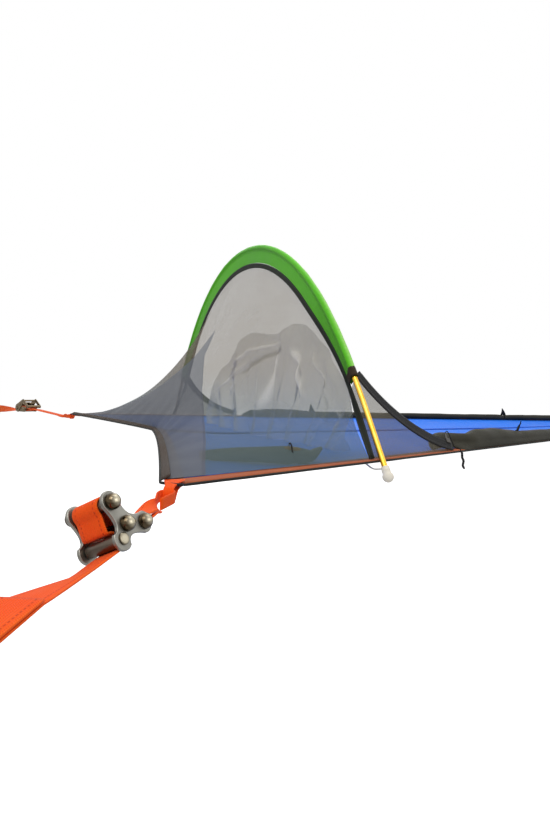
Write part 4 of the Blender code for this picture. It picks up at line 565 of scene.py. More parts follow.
def eye_stations(side, reach, width, height, across):
    """The outer end of a strap: round a sewn eye and back on top of itself."""
    run = strap_run(side)
    tip = corner_tip(side)
    centre = tip + run * (reach - EYE_RADIUS) + UP * height
    radius = EYE_RADIUS + STRAP_THICKNESS / 2
    lap = centre - run * (EYE_LAP + EYE_RADIUS * 2)
    neck = centre - run * EYE_RADIUS * 2
    normal = unit(np.cross(run, across))
    lift = normal * (STRAP_THICKNESS / 2 + CLEARANCE)
    stations = [(lap - lift, across, width), (neck - lift, across, width)]
    for dx, dz in arc_points((0.0, 0.0), radius, -EYE_TURN_DEGREES, EYE_TURN_DEGREES, 12):
        stations.append((centre + run * dx + normal * dz, across, width))
    return stations + [(neck + lift, across, width), (lap + lift, across, width)]


def lock_matrix():
    place = corner_tip(NEAR) + strap_run(NEAR) * LOCK_DISTANCE + UP * LOCK_LIFT
    turn = Euler([math.radians(d) for d in LOCK_TURN_DEGREES], "XYZ")
    return Matrix.Translation(place) @ turn.to_matrix().to_4x4()


def lobe_centre(name):
    turn = math.radians(LOCK_LOBE_DEGREES[name])
    return (LOCK_ARMS[name] * math.cos(turn), LOCK_ARMS[name] * math.sin(turn))


def lock_path(points, width, shift_from=0.0, shift_to=0.0):
    """Strap stations from (y, z) points in the lock's own frame, shifted along its bolts on the way."""
    frame = TENT_LOCK
    across = np.array(frame.to_3x3() @ Vector((1.0, 0.0, 0.0)))
    stations = []
    for k, (y, z) in enumerate(points):
        shift = shift_from + (shift_to - shift_from) * k / (len(points) - 1)
        stations.append((np.array(frame @ Vector((shift, y, z))), across, width))
    return stations


TENT_LOCK = lock_matrix()


def ratchet_matrix():
    run = Vector(-strap_run(FAR))
    across = Vector(UP).cross(run)
    axes = Matrix((run, across, Vector(UP))).transposed().to_4x4()
    place = corner_tip(FAR) + strap_run(FAR) * RATCHET_DISTANCE + UP * RATCHET_LIFT
    return Matrix.Translation(place) @ axes


WOUND_START = RATCHET_CORE_DIAMETER / 2 + STRAP_THICKNESS / 2 + CLEARANCE * 1.5


def wound_points():
    """Middle line of the webbing wound on the spool, from its inner end out."""
    steps = WOUND_TURNS * 16
    points = []
    for k in range(steps + 1):
        share = k / steps
        turn = 2 * math.pi * WOUND_TURNS * share
        radius = WOUND_START + WOUND_PITCH * WOUND_TURNS * share
        points.append((radius * math.cos(turn), radius * math.sin(turn)))
    return points


def wound_radius_below():
    """The wound webbing's outer radius, under which the tree strap leaves the spool."""
    return WOUND_START + WOUND_PITCH * WOUND_TURNS + STRAP_THICKNESS / 2


# Mesh helpers

OFFSET = np.array([-FOOT_EYE_X, 0.0, 0.0])
SCENE = bpy.context.scene


def in_scene(name, data):
    """A new object in the scene."""
    obj = bpy.data.objects.new(name, data)
    SCENE.collection.objects.link(obj)
    return obj


def piece(name, mesh, material, nodes=(), body="tent"):
    """A visible piece that rides on a body and stands for the named solids."""
    obj = in_scene(name, mesh)
    mesh.materials.append(material)
    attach(obj, body)
    if nodes:
        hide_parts(*nodes)
    return obj


def running_length(points):
    steps = np.linalg.norm(np.diff(points, axis=0), axis=1)
    return np.concatenate([[0.0], np.cumsum(steps)])


def spread(points, parts):
    """More points on a smooth curve through the given ones, which may be unevenly spaced."""
    points = np.asarray(points, float)
    way = running_length(points[:, :3])
    gaps = np.maximum(np.diff(way), 1e-9)
    slopes = np.diff(points, axis=0) / gaps[:, None]
    tangents = np.empty_like(points)
    tangents[0] = slopes[0]
    tangents[-1] = slopes[-1]
    before, after = gaps[:-1, None], gaps[1:, None]
    tangents[1:-1] = (after * slopes[:-1] + before * slopes[1:]) / (before + after)
    out = []
    for k, gap in enumerate(gaps):
        for step in range(parts):
            t = step / parts
            a = 2 * t**3 - 3 * t**2 + 1
            b = t**3 - 2 * t**2 + t
            c = -2 * t**3 + 3 * t**2
            d = t**3 - t**2
            out.append(a * points[k] + b * gap * tangents[k] + c * points[k + 1] + d * gap * tangents[k + 1])
    out.append(points[-1])
    return np.array(out)


def with_short_ends(rows, reach):
    """Adds rows near both ends of each long step, so that a smooth curve stays straight between."""
    out = [rows[0]]
    for first, last in zip(rows, rows[1:]):
        gap = np.linalg.norm(last[:3] - first[:3])
        if gap > reach * 3:
            out.append(first + (last - first) * reach / gap)
            out.append(last - (last - first) * reach / gap)
        out.append(last)
    return np.array(out)


def denser(points, parts_down, parts_over):
    """A finer grid through a grid of points."""
    points = np.asarray(points, float)
    cols = points.shape[1]
    down = np.array([spread(points[:, c], parts_down) for c in range(cols)]).transpose(1, 0, 2)
    return np.array([spread(row, parts_over) for row in down])


def grid_mesh(name, points, closed=False, sizes=None, fields=None, flip=False):
    """A mesh over a grid of tent points, with its map in metres: along the rows, then across them."""
    points = np.asarray(points, float)
    rows, cols = points.shape[:2]
    faces = []
    corners = []
    wide = cols if closed else cols - 1
    for r in range(rows - 1):
        for c in range(wide):
            d = (c + 1) % cols
            face = [r * cols + c, (r + 1) * cols + c, (r + 1) * cols + d, r * cols + d]
            corner = [(r, c), (r + 1, c), (r + 1, c + 1), (r, c + 1)]
            if flip:
                face.reverse()
                corner.reverse()
            faces.append(face)
            corners += corner
    mesh = bpy.data.meshes.new(name)
    mesh.from_pydata((points + OFFSET).reshape(-1, 3).tolist(), [], faces)
    if sizes is None:
        middle = cols // 2
        u = running_length(points[:, middle])
        row = points[rows // 2]
        if closed:
            row = np.vstack([row, row[:1]])
        v = running_length(row)
        sizes = (np.repeat(u[:, None], len(v), axis=1), np.repeat(v[None, :], rows, axis=0))
    layer = mesh.uv_layers.new(name="UVMap")
    flat = np.array([(sizes[0][r, c], sizes[1][r, c]) for r, c in corners], dtype=np.float32)
    layer.data.foreach_set("uv", flat.ravel())
    for key, values in (fields or {}).items():
        field = mesh.attributes.new(key, "FLOAT", "POINT")
        field.data.foreach_set("value", np.asarray(values, dtype=np.float32).ravel())
    mesh.shade_smooth()
    return mesh


def reworked(mesh, change):
    """Makes one change to a mesh, and turns all its faces outwards."""
    bm = bmesh.new()
    bm.from_mesh(mesh)
    change(bm)
    bmesh.ops.recalc_face_normals(bm, faces=bm.faces)
    bm.to_mesh(mesh)
    bm.free()
    return mesh


def cap_ends(mesh, rows, cols):
    """Closes both ends of a tube mesh."""

    def cap(bm):
        bm.verts.ensure_lookup_table()
        for ring in (range(cols), range((rows - 1) * cols, rows * cols)):
            bm.faces.new([bm.verts[k] for k in ring])

    return reworked(mesh, cap)


def flap(obj, thickness, offset=0.0):
    """Gives a sheet its thickness."""
    modifier = obj.modifiers.new("thickness", "SOLIDIFY")
    modifier.thickness = thickness
    modifier.offset = offset
    return obj


def frames_along(points):
    """Tangents and two steady ring axes along a path."""
    points = np.asarray(points, float)
    tangents = units(np.gradient(points, axis=0))
    side = np.cross(tangents[0], UP)
    if np.linalg.norm(side) < 0.1:
        side = np.cross(tangents[0], (1.0, 0.0, 0.0))
    side = unit(side)
    sides = []
    for tangent in tangents:
        side = unit(side - tangent * (side @ tangent))
        sides.append(side)
    sides = np.array(sides)
    return tangents, sides, np.cross(tangents, sides)


ROUND_END = ((0.35, 0.35), (0.95, 0.86))  # turn of each end ring in radians, and its share of the radius


def tube_mesh(name, points, radius, sides=12, radii=None):
    """A round cord with rounded ends along tent points."""
    points = np.asarray([tuple(p) for p in points], float)
    radii = np.ones(len(points)) if radii is None else np.asarray(radii, float)
    tangents, first, second = frames_along(points)
    rings = []
    backs = [1 - math.cos(turn) for turn, _ in ROUND_END]
    start = [points[0] + tangents[0] * radius * radii[0] * back for back in backs]
    stop = [points[-1] - tangents[-1] * radius * radii[-1] * back for back in backs[::-1]]
    centres = [*start, *points[1:-1], *stop]
    scales = [share * radii[0] for _, share in ROUND_END] + list(radii[1:-1])
    scales += [share * radii[-1] for _, share in ROUND_END[::-1]]
    axes = [0, 0, *range(1, len(points) - 1), -1, -1]
    for centre, scale, k in zip(centres, scales, axes):
        turns = [2 * math.pi * s / sides for s in range(sides)]
        ways = [math.cos(t) * first[k] + math.sin(t) * second[k] for t in turns]
        rings.append([centre + radius * scale * way for way in ways])
    rings = np.array(rings)
    return cap_ends(grid_mesh(name, rings, closed=True), len(rings), sides)


def webbing_mesh(name, stations, thickness, parts=3, lanes=6, edge=0.25):
    """A woven band with rounded edges through stations of (middle, direction of its width, width)."""
    rows = np.array([[*point, *across, width] for point, across, width in stations], float)
    rows = spread(with_short_ends(rows, 0.010), parts)
    middles = rows[:, :3]
    across = units(rows[:, 3:6])
    widths = rows[:, 6]
    tangents = units(np.gradient(middles, axis=0))
    normals = units(np.cross(across, tangents))
    half = thickness / 2
    spans = np.linspace(-1, 1, lanes + 1)
    flat = 1 - edge * half / 0.006
    section = [(-1.0, 0.55), *[(s * flat, 1.0) for s in spans], (1.0, 0.55)]
    section += [(1.0, -0.55), *[(s * flat, -1.0) for s in spans[::-1]], (-1.0, -0.55)]
    ring = np.array(section)
    points = (
        middles[:, None, :]
        + across[:, None, :] * (ring[None, :, 0, None] * widths[:, None, None] / 2)
        + normals[:, None, :] * (ring[None, :, 1, None] * half)
    )
    u = running_length(middles)
    v = np.append(ring[:, 0], ring[0, 0])[None, :] * widths[:, None] / 2
    sizes = (np.repeat(u[:, None], len(section) + 1, axis=1), v)
    mesh = grid_mesh(name, points, closed=True, sizes=sizes)
    return cap_ends(mesh, len(points), len(section))


def cloth(name, points, material, nodes=(), slot=None, **options):
    return piece(name, grid_mesh(name, points, **options), material, nodes)


def tube(name, path, radius, material, nodes=(), slot=None, body="tent", **options):
    return piece(name, tube_mesh(name, path, radius, **options), material, nodes, body)


def webbing(name, stations, thickness, material, nodes=(), slot=None, body="tent", **options):
    return piece(name, webbing_mesh(name, stations, thickness, **options), material, nodes, body)


TURNED_SHARP_DEGREES = 38


def lathe_mesh(name, profile, steps, matrix):
    """A body turned about Z from (radius, height) points, then placed by a tent matrix."""
    rows = []
    for radius, height in profile:
        turns = np.linspace(0, 2 * math.pi, steps + 1)[:-1]
        ring = [(radius * math.cos(t), radius * math.sin(t), height) for t in turns]
        rows.append([np.array(matrix @ Vector(p)) for p in ring])
    mesh = grid_mesh(name, np.array(rows), closed=True)
    reworked(mesh, lambda bm: bmesh.ops.remove_doubles(bm, verts=bm.verts, dist=1e-6))
    mesh.shade_smooth()
    mesh.set_sharp_from_angle(angle=math.radians(TURNED_SHARP_DEGREES))
    return mesh


def turned(name, profile, steps, matrix, material, nodes, slot, body="tent"):
    return piece(name, lathe_mesh(name, profile, steps, matrix), material, nodes, body)


def hashed(k, salt=0.0):
    """A steady number from 0 to 1 for each whole number."""
    return (math.sin(k * 12.9898 + salt * 78.233) * 43758.5453) % 1.0


def lumpy(x, y, salt=0.0):
    """Smooth rolling unevenness from -1 to 1."""
    total = 0.0
    for k in range(5):
        turn = 2 * math.pi * hashed(k, salt + 0.3)
        pace = 0.7 + 1.1 * hashed(k, salt + 1.7)
        total = total + np.sin(pace * (x * math.cos(turn) + y * math.sin(turn)) + 6.0 * hashed(k, salt + 4.1))
    return total / 5


# Materials


class Shade:
    """A material's node tree, with short calls for its common nodes."""

    def __init__(self, name, roughness=0.6, metallic=0.0):
        self.material = bpy.data.materials.new(name)
        self.material.use_nodes = True
        self.tree = self.material.node_tree
        self.shader = self.tree.nodes["Principled BSDF"]
        self.set(self.shader, Roughness=roughness, Metallic=metallic)
        if not metallic:
            self.shader.inputs["Specular IOR Level"].default_value = 0.12
        self.bumps = None

    def set(self, node, **values):
        for key, value in values.items():
            self.join(value, node.inputs[key.replace("_", " ")])
        return node

    def join(self, value, socket):
        if isinstance(value, bpy.types.NodeSocket):
            self.tree.links.new(value, socket)
        elif isinstance(value, tuple) and len(value) == 3 and len(socket.default_value) == 4:
            socket.default_value = (*value, 1.0)
        else:
            socket.default_value = value

    def node(self, kind, **settings):
        node = self.tree.nodes.new(kind)
        for key, value in settings.items():
            setattr(node, key, value)
        return node

    def math(self, operation, first, second=0.0, third=None):
        node = self.node("ShaderNodeMath", operation=operation)
        for k, value in enumerate((first, second) if third is None else (first, second, third)):
            self.join(value, node.inputs[k])
        return node.outputs[0]

    def field(self, name):
        return self.node("ShaderNodeAttribute", attribute_name=name).outputs["Fac"]

    def map_uv(self):
        uv = self.node("ShaderNodeUVMap", uv_map="UVMap")
        parts = self.node("ShaderNodeSeparateXYZ")
        self.join(uv.outputs[0], parts.inputs[0])
        return parts.outputs[0], parts.outputs[1]

    def place(self):
        return self.node("ShaderNodeTexCoord").outputs["Object"]

    def noise(self, scale, detail=3.0, roughness=0.5, stretch=None):
        node = self.node("ShaderNodeTexNoise")
        source = self.place()
        if stretch is not None:
            mapping = self.node("ShaderNodeMapping")
            self.join(source, mapping.inputs[0])
            mapping.inputs["Scale"].default_value = stretch
            source = mapping.outputs[0]
        self.join(source, node.inputs["Vector"])
        self.set(node, Scale=scale, Detail=detail, Roughness=roughness)
        return node.outputs["Fac"]

    def patches(self, low, high, *noise):
        """Noise drawn apart between two of its levels."""
        return self.range(self.noise(*noise), low, high)

    def wave(self, value, period):
        """A ripple from 0 to 1 with the given period in metres."""
        turned = self.math("MULTIPLY", value, 2 * math.pi / period)
        ripple = self.math("SINE", turned)
        return self.math("MULTIPLY_ADD", ripple, 0.5, 0.5)

    def range(self, value, low, high, to_low=0.0, to_high=1.0):
        node = self.node("ShaderNodeMapRange", interpolation_type="SMOOTHSTEP")
        self.join(value, node.inputs["Value"])
        self.set(node, From_Min=low, From_Max=high, To_Min=to_low, To_Max=to_high)
        return node.outputs["Result"]

    def mixed(self, kind, sockets, output, values):
        node = self.node("ShaderNodeMix", data_type=kind)
        for value, socket in zip(values, sockets):
            self.join(value, node.inputs[socket])
        return node.outputs[output]

    def mix(self, share, first, second):
        """A colour between two."""
        return self.mixed("RGBA", (0, 6, 7), 2, (share, first, second))

    def blend(self, share, first, second):
        """A number between two."""
        return self.mixed("FLOAT", (0, 2, 3), 0, (share, first, second))

    def bump(self, height, strength, distance):
        node = self.node("ShaderNodeBump")
        self.join(height, node.inputs["Height"])
        self.set(node, Strength=strength, Distance=distance)
        if self.bumps is not None:
            self.join(self.bumps, node.inputs["Normal"])
        self.bumps = node.outputs["Normal"]

    def done(self, colour, roughness, alpha=None):
        keys = ("Base Color", "Roughness", "Alpha", "Normal")
        for key, value in zip(keys, (colour, roughness, alpha, self.bumps)):
            if value is not None:
                self.join(value, self.shader.inputs[key])
        return self.material


STITCH_PITCH = 0.0034
STITCH_WIDTH = 0.0007
CLOTH_PITCH = 0.0008
NET_CELL = 0.0016
BRAID_PITCH = 0.0012
# Strength of the painted glow that stands for highlights on the door netting's folds
FOLD_GLOW = 0.85
WEBBING_ROUGHNESS = 0.72
THREAD_ROUGHNESS = 0.75


def scaled(colour, share):
    return tuple(c * share for c in colour)


def stitches(shade, u, v, rows):
    """A mask of stitch rows at the given places across the cloth."""
    dash = shade.range(shade.wave(u, STITCH_PITCH), 0.30, 0.42)
    total = None
    for row in rows:
        off = shade.math("ABSOLUTE", shade.math("SUBTRACT", v, row))
        line = shade.range(off, STITCH_WIDTH * 0.45, STITCH_WIDTH * 0.75, 1.0, 0.0)
        total = line if total is None else shade.math("MAXIMUM", total, line)
    return shade.math("MULTIPLY", dash, total)


def woven_cloth(
    name, colour, other, roughness=0.6, ripstop=None, sheen=0.0, seams=(), seam_colour=None, ridge_highlight=None
):
    """Fine plain-woven nylon: a tight weave, rolling colour variation and soft creases.

    The last argument is a painted highlight colour, mixed in where the point attribute of the same name is 1.
    """
    shade = Shade(name, roughness)
    u, v = shade.map_uv()
    weave = shade.math("MULTIPLY", shade.wave(u, CLOTH_PITCH), shade.wave(v, CLOTH_PITCH))
    patches = shade.patches(0.32, 0.68, 3.0, 4.0, 0.6)
    tint = shade.mix(patches, colour, other)
    if ridge_highlight is not None:
        # Painted highlight: a lighter yellow-green where this field is high, standing for light glowing
        # through the sleeve's loose outer edge.
        field = shade.field("ridge_highlight")
        tint = shade.mix(shade.math("MULTIPLY", field, 0.62), tint, ridge_highlight)
    fine = shade.patches(0.3, 0.7, 140.0, 2.0)
    dark = scaled(colour, 0.80)
    tint = shade.mix(shade.math("MULTIPLY", fine, 0.22), tint, dark)
    shade.bump(shade.noise(18.0, 4.0, 0.55), 0.35, 0.0015)
    if ripstop:
        both_ways = [shade.range(shade.wave(way, ripstop), 0.965, 0.992) for way in (u, v)]
        lines = shade.math("MAXIMUM", *both_ways)
        bright = tuple(min(1.0, c * 1.25 + 0.01) for c in colour)
        tint = shade.mix(shade.math("MULTIPLY", lines, 0.30), tint, bright)
        weave = shade.math("MULTIPLY_ADD", lines, 0.8, weave)
    if seams:
        mask = stitches(shade, u, v, seams)
        tint = shade.mix(mask, tint, seam_colour or dark)
        weave = shade.math("MULTIPLY_ADD", mask, 1.5, weave)
    shade.bump(weave, 0.35, CLOTH_PITCH * 0.35)
    rough = shade.math("MULTIPLY_ADD", patches, 0.12, roughness - 0.06)
    shade.set(shade.shader, Sheen_Weight=sheen, Sheen_Roughness=0.5)
    return shade.done(tint, rough)


def woven_webbing(name, colour, worn, rib=0.0016, edge=None, rows=(), thread=None):
    """Heavy webbing: ribs along it, a chevron of yarns with painted shade between them, fuzzed edges and rows
    of stitches.
    """
    shade = Shade(name, WEBBING_ROUGHNESS)
    u, v = shade.map_uv()
    ribs = shade.wave(v, rib)
    zigzag = shade.math("PINGPONG", v, rib * 3)
    yarns = shade.wave(shade.math("ADD", u, zigzag), rib * 0.9)
    weave = shade.math("MULTIPLY_ADD", yarns, 0.6, shade.math("MULTIPLY", ribs, 0.5))
    patches = shade.patches(0.35, 0.7, 9.0, 4.0, 0.6)
    tint = shade.mix(shade.math("MULTIPLY", patches, 0.6), colour, worn)
    # Painted shade: the low places of the weave are darkened, as if shade fell between the yarns.
    deep = scaled(colour, 0.55)
    tint = shade.mix(shade.range(weave, 0.0, 0.75, 0.42, 0.0), tint, deep)
    if edge:
        side = shade.range(shade.math("ABSOLUTE", v), edge - 0.0018, edge - 0.0002)
        tint = shade.mix(shade.math("MULTIPLY", side, 0.35), tint, worn)
    if rows:
        mask = stitches(shade, u, v, rows)
        tint = shade.mix(mask, tint, thread or deep)
        weave = shade.math("MULTIPLY_ADD", mask, 1.2, weave)
    shade.bump(shade.noise(30.0, 3.0), 0.25, 0.0008)
    shade.bump(weave, 0.55, 0.00035)
    shade.set(shade.shader, Sheen_Weight=0.06, Sheen_Roughness=0.45)
    rough = shade.math("MULTIPLY_ADD", patches, 0.14, WEBBING_ROUGHNESS - 0.07)
    return shade.done(tint, rough)


def netting(name, colour, other, open_share, thread_share, panel=None, low=None, folds=False):
    """Fine insect netting: threads round small holes.

    panel adds a denser cloth where its field is above 0, low is a painted bounce light, a bluish tint of the
    threads near the floor, and folds paints highlights with a little glow along the folds that stand out and
    painted shade in those that sink in, and makes the cloth denser along both.
    """
    shade = Shade(name, THREAD_ROUGHNESS)
    u, v = shade.map_uv()
    slant = shade.math("MULTIPLY", v, 0.5)
    first = shade.wave(shade.math("ADD", u, slant), NET_CELL)
    second = shade.wave(shade.math("SUBTRACT", u, slant), NET_CELL)
    third = shade.wave(v, NET_CELL)
    holes = shade.math("MULTIPLY", shade.math("MULTIPLY", first, second), third)
    threads = shade.range(holes, 0.10, 0.45, 1.0, 0.0)
    patches = shade.patches(0.3, 0.7, 4.0, 4.0, 0.6)
    tint = shade.mix(patches, colour, other)
    alpha = shade.blend(threads, open_share, thread_share)
    alpha = shade.math("MULTIPLY_ADD", patches, 0.05, alpha)
    height = threads
    # Painted light: threads low down are tinted bluish-green, standing for light bounced up from the blue
    # floor.
    if low is not None:
        rise = shade.node("ShaderNodeSeparateXYZ")
        shade.join(shade.place(), rise.inputs[0])
        tint = shade.mix(shade.range(rise.outputs[2], 0.03, 0.17, 1.0, 0.0), tint, low)
    if folds:
        # Painted light on the folds: highlights and a glow where the fold field is above 0, painted shade
        # where it is below.
        field = shade.field("fold")
        bright = shade.range(field, 0.10, 1.0)
        dark = shade.range(field, -0.8, -0.1, 1.0, 0.0)
        tint = shade.mix(shade.math("MULTIPLY", dark, 0.75), tint, scaled(colour, 0.30))
        alpha = shade.math("MULTIPLY_ADD", bright, 0.34, alpha)
        alpha = shade.math("MULTIPLY_ADD", dark, 0.22, alpha)
        shade.join((1.0, 0.97, 0.90), shade.shader.inputs["Emission Color"])
        shade.join(shade.math("MULTIPLY", bright, FOLD_GLOW), shade.shader.inputs["Emission Strength"])
    if panel is not None:
        field = shade.field("panel")
        cloth = shade.range(field, -0.0008, 0.0008)
        weave = shade.math("MULTIPLY", shade.wave(u, 0.0009), shade.wave(v, 0.0009))
        cloth_tint = shade.mix(shade.patches(0.3, 0.7, 5.0, 4.0, 0.65), panel[0], panel[1])
        from_seam = shade.math("ABSOLUTE", shade.math("SUBTRACT", field, 0.003))
        seam = shade.range(from_seam, 0.0022, 0.0030, 1.0, 0.0)
        seam_tint = scaled(panel[0], 0.5)
        cloth_tint = shade.mix(shade.math("MULTIPLY", seam, 0.35), cloth_tint, seam_tint)
        tint = shade.mix(cloth, tint, cloth_tint)
        alpha = shade.blend(cloth, alpha, panel[2])
        height = shade.blend(cloth, threads, weave)
    shade.bump(shade.noise(14.0, 4.0, 0.6), 0.30, 0.002)
    shade.bump(height, 0.4, 0.00025)
    shade.set(shade.shader, Sheen_Weight=0.04, Sheen_Roughness=0.4)
    return shade.done(tint, THREAD_ROUGHNESS, alpha)


def braided_cord(name, colour, other):
    """A braided cover: two sets of crossing strands, with painted shade between them."""
    shade = Shade(name, THREAD_ROUGHNESS)
    u, v = shade.map_uv()
    one = shade.wave(shade.math("ADD", u, v), BRAID_PITCH)
    two = shade.wave(shade.math("SUBTRACT", u, v), BRAID_PITCH)
    braid = shade.math("MAXIMUM", one, two)
    patches = shade.patches(0.3, 0.7, 60.0, 3.0)
    tint = shade.mix(patches, colour, other)
    # Painted shade: darker where the strands dip between their crossings.
    tint = shade.mix(shade.range(braid, 0.3, 0.9, 0.6, 0.0), tint, scaled(colour, 0.4))
    shade.bump(braid, 0.5, BRAID_PITCH * 0.25)
    return shade.done(tint, THREAD_ROUGHNESS)


def worn_metal(name, colour, other, roughness=0.25, brush=(220.0, 12.0, 12.0), marks=0.25):
    """Metal with fine rubbing marks, dull patches and tiny dents."""
    shade = Shade(name, roughness, 1.0)
    lines = shade.noise(1.0, 3.0, 0.6, stretch=brush)
    patches = shade.patches(0.35, 0.7, 40.0, 4.0, 0.6)
    tint = shade.mix(patches, colour, other)
    rough = shade.math("MULTIPLY_ADD", lines, marks, roughness - marks * 0.45)
    rough = shade.math("MULTIPLY_ADD", patches, 0.10, rough)
    shade.bump(lines, 0.12, 0.0002)
    shade.bump(shade.noise(160.0, 2.0), 0.10, 0.0002)
    return shade.done(tint, rough)


def painted_reflection_metal(name, colour, dark, inner, outer, whole, roughness=0.18):
    """Polished metal, darker beyond a distance from each end of its turned outline: a painted reflection of
    dark surroundings on the domes' rims.
    """
    shade = Shade(name, roughness, 1.0)
    u, _ = shade.map_uv()
    from_tip = shade.math("MINIMUM", u, shade.math("SUBTRACT", whole, u))
    patches = shade.patches(0.35, 0.7, 60.0, 4.0, 0.6)
    # Painted reflection: dark beyond the middle of each dome, standing for dark surroundings mirrored in its
    # rim.
    ring = shade.range(from_tip, inner, outer)
    tint = shade.mix(ring, colour, dark)
    tint = shade.mix(shade.math("MULTIPLY", patches, 0.35), tint, dark)
    rough = shade.math("MULTIPLY_ADD", patches, 0.12, roughness)
    shade.bump(shade.noise(160.0, 2.0), 0.10, 0.0002)
    return shade.done(tint, rough)


def moulded_plastic(name, colour, other, roughness=0.42):
    """Smooth moulded plastic with handling marks and a faint orange-peel surface."""
    shade = Shade(name, roughness)
    patches = shade.patches(0.35, 0.72, 70.0, 4.0, 0.65)
    tint = shade.mix(patches, colour, other)
    rough = shade.math("MULTIPLY_ADD", patches, 0.18, roughness - 0.08)
    shade.bump(shade.noise(420.0, 2.0), 0.15, 0.0002)
    shade.set(shade.shader, IOR=1.46)
    return shade.done(tint, rough)


# Materials of this tent

BLUE = woven_cloth(
    "floor_nylon", (0.006, 0.165, 0.86), (0.012, 0.215, 0.98), roughness=0.55, ripstop=0.0075,
    sheen=0.02, seams=(-0.004, 0.004), seam_colour=(0.010, 0.085, 0.50),
)
# The sleeve's last colour is a painted highlight along the crest of its tube.
GREEN = woven_cloth(
    "sleeve_nylon", (0.085, 0.48, 0.010), (0.120, 0.58, 0.020), roughness=0.48, ripstop=0.0060,
    sheen=0.08, ridge_highlight=(0.52, 0.86, 0.26),
)
FLAP = woven_cloth("flap_nylon", (0.026, 0.025, 0.018), (0.050, 0.047, 0.034), sheen=0.03)
HEAD_FLAP = woven_cloth("head_flap_nylon", (0.070, 0.068, 0.048), (0.115, 0.110, 0.080))
BLACK_TAPE = woven_webbing("tie_tape", (0.010, 0.010, 0.010), (0.026, 0.026, 0.026), rib=0.0012)
# Centre seam tape: its darker blue is partly the tape's own colour and partly painted shade of the crease
# along the seam.
SEAM_TAPE_AND_SHADE = woven_webbing("seam_tape_and_painted_shade", (0.005, 0.100, 0.62), (0.009, 0.130, 0.74), rib=0.0010)
HEAD_TAPE = woven_webbing("head_tape", (0.050, 0.036, 0.028), (0.085, 0.060, 0.046), rib=0.0012)
HEM = woven_webbing("hem_tape", (0.016, 0.017, 0.016), (0.040, 0.042, 0.038), rib=0.0012)
BINDING = woven_webbing(
    "binding_tape", (0.014, 0.017, 0.013), (0.036, 0.042, 0.032), rib=0.0012, edge=0.006,
    rows=(-0.0042, 0.0042), thread=(0.060, 0.066, 0.055),
)
DOOR_TAPE = woven_webbing(
    "door_tape", (0.013, 0.013, 0.014), (0.034, 0.034, 0.034), rib=0.0012, edge=0.008,
    rows=(0.0036, 0.0060), thread=(0.055, 0.055, 0.055),
)
EDGE = woven_webbing(
    "edge_band", (0.40, 0.090, 0.030), (0.52, 0.170, 0.075), rib=0.0016, edge=0.0125,
    rows=(-0.0095, 0.0095), thread=(0.20, 0.045, 0.018),
)
ORANGE = woven_webbing(
    "strap_band", (0.96, 0.088, 0.006), (1.0, 0.165, 0.014), rib=0.0017, edge=0.0125,
    rows=(-0.0088, 0.0088), thread=(0.62, 0.050, 0.006),
)
ORANGE_WIDE = woven_webbing(
    "ratchet_strap_band", (0.93, 0.105, 0.012), (1.0, 0.190, 0.035), rib=0.0017, edge=0.0150,
    rows=(-0.0108, 0.0108), thread=(0.62, 0.050, 0.006),
)
# The hood netting's low colour is painted bounce light from the floor.
HOOD_NET = netting(
    "hood_netting", (0.125, 0.100, 0.062), (0.155, 0.125, 0.080), open_share=0.38, thread_share=0.68,
    panel=((0.100, 0.109, 0.127), (0.134, 0.142, 0.160), 0.87), low=(0.100, 0.138, 0.142),
)
CHEEK_NET = netting(
    "cheek_netting", (0.120, 0.110, 0.085), (0.150, 0.135, 0.100), open_share=0.42, thread_share=0.74
)
# The door netting gets painted highlights, glow and shade along its folds.
DOOR_NET = netting(
    "door_netting", (0.90, 0.88, 0.82), (0.98, 0.96, 0.92), open_share=0.15, thread_share=0.42, folds=True
)
CUFF = woven_webbing("sleeve_cuff", (0.028, 0.020, 0.012), (0.075, 0.050, 0.026), rib=0.0012)
BLACK_CORD = braided_cord("black_elastic", (0.012, 0.012, 0.012), (0.030, 0.030, 0.030))
WHITE_CORD = braided_cord("white_elastic", (0.72, 0.71, 0.67), (0.82, 0.80, 0.76))
GOLD = worn_metal(
    "gold_anodised_tube", (0.86, 0.47, 0.045), (0.92, 0.56, 0.090), roughness=0.26,
    brush=(30.0, 30.0, 30.0), marks=0.10,
)
ALUMINIUM = worn_metal("plain_tube", (0.70, 0.71, 0.72), (0.80, 0.81, 0.82), roughness=0.30)
STEEL = worn_metal("polished_steel", (0.235, 0.228, 0.200), (0.33, 0.32, 0.285), roughness=0.34, marks=0.16)
# Bolt caps, with a painted reflection darkening the rims of their domes.
CAP_STEEL = painted_reflection_metal(
    "cap_steel", (0.62, 0.56, 0.42), (0.085, 0.062, 0.036), inner=0.0016, outer=0.0062, whole=0.0800
)
BRONZE = worn_metal("passivated_steel", (0.16, 0.12, 0.07), (0.27, 0.205, 0.125), roughness=0.36, marks=0.18)
ROLLER = worn_metal("roller_steel", (0.12, 0.095, 0.075), (0.20, 0.165, 0.130), roughness=0.38, marks=0.14)
ZIP_METAL = worn_metal("zip_metal", (0.055, 0.050, 0.045), (0.10, 0.095, 0.085), roughness=0.36)
IVORY = moulded_plastic("ivory_plastic", (0.80, 0.74, 0.62), (0.88, 0.83, 0.73))
ZIP_COIL = moulded_plastic("zip_coil", (0.020, 0.020, 0.020), (0.045, 0.045, 0.045), roughness=0.40)

# Floor and its edges

FLOOR_SAG = 0.012
SAG_HEAD_REACH = 0.22
SAG_FULL_HALF_WIDTH = 0.35
SAG_POWER = 1.6
FLOOR_FOLD = 0.0011
FLOOR_CREASE = 0.0013
FLOOR_SEAM = 0.0010
SEAM_TAPE_WIDTH = 0.026
SEAM_TAPE_HEIGHT = 0.0012
FLOOR_ROWS = 96
FLOOR_COLUMNS = 49


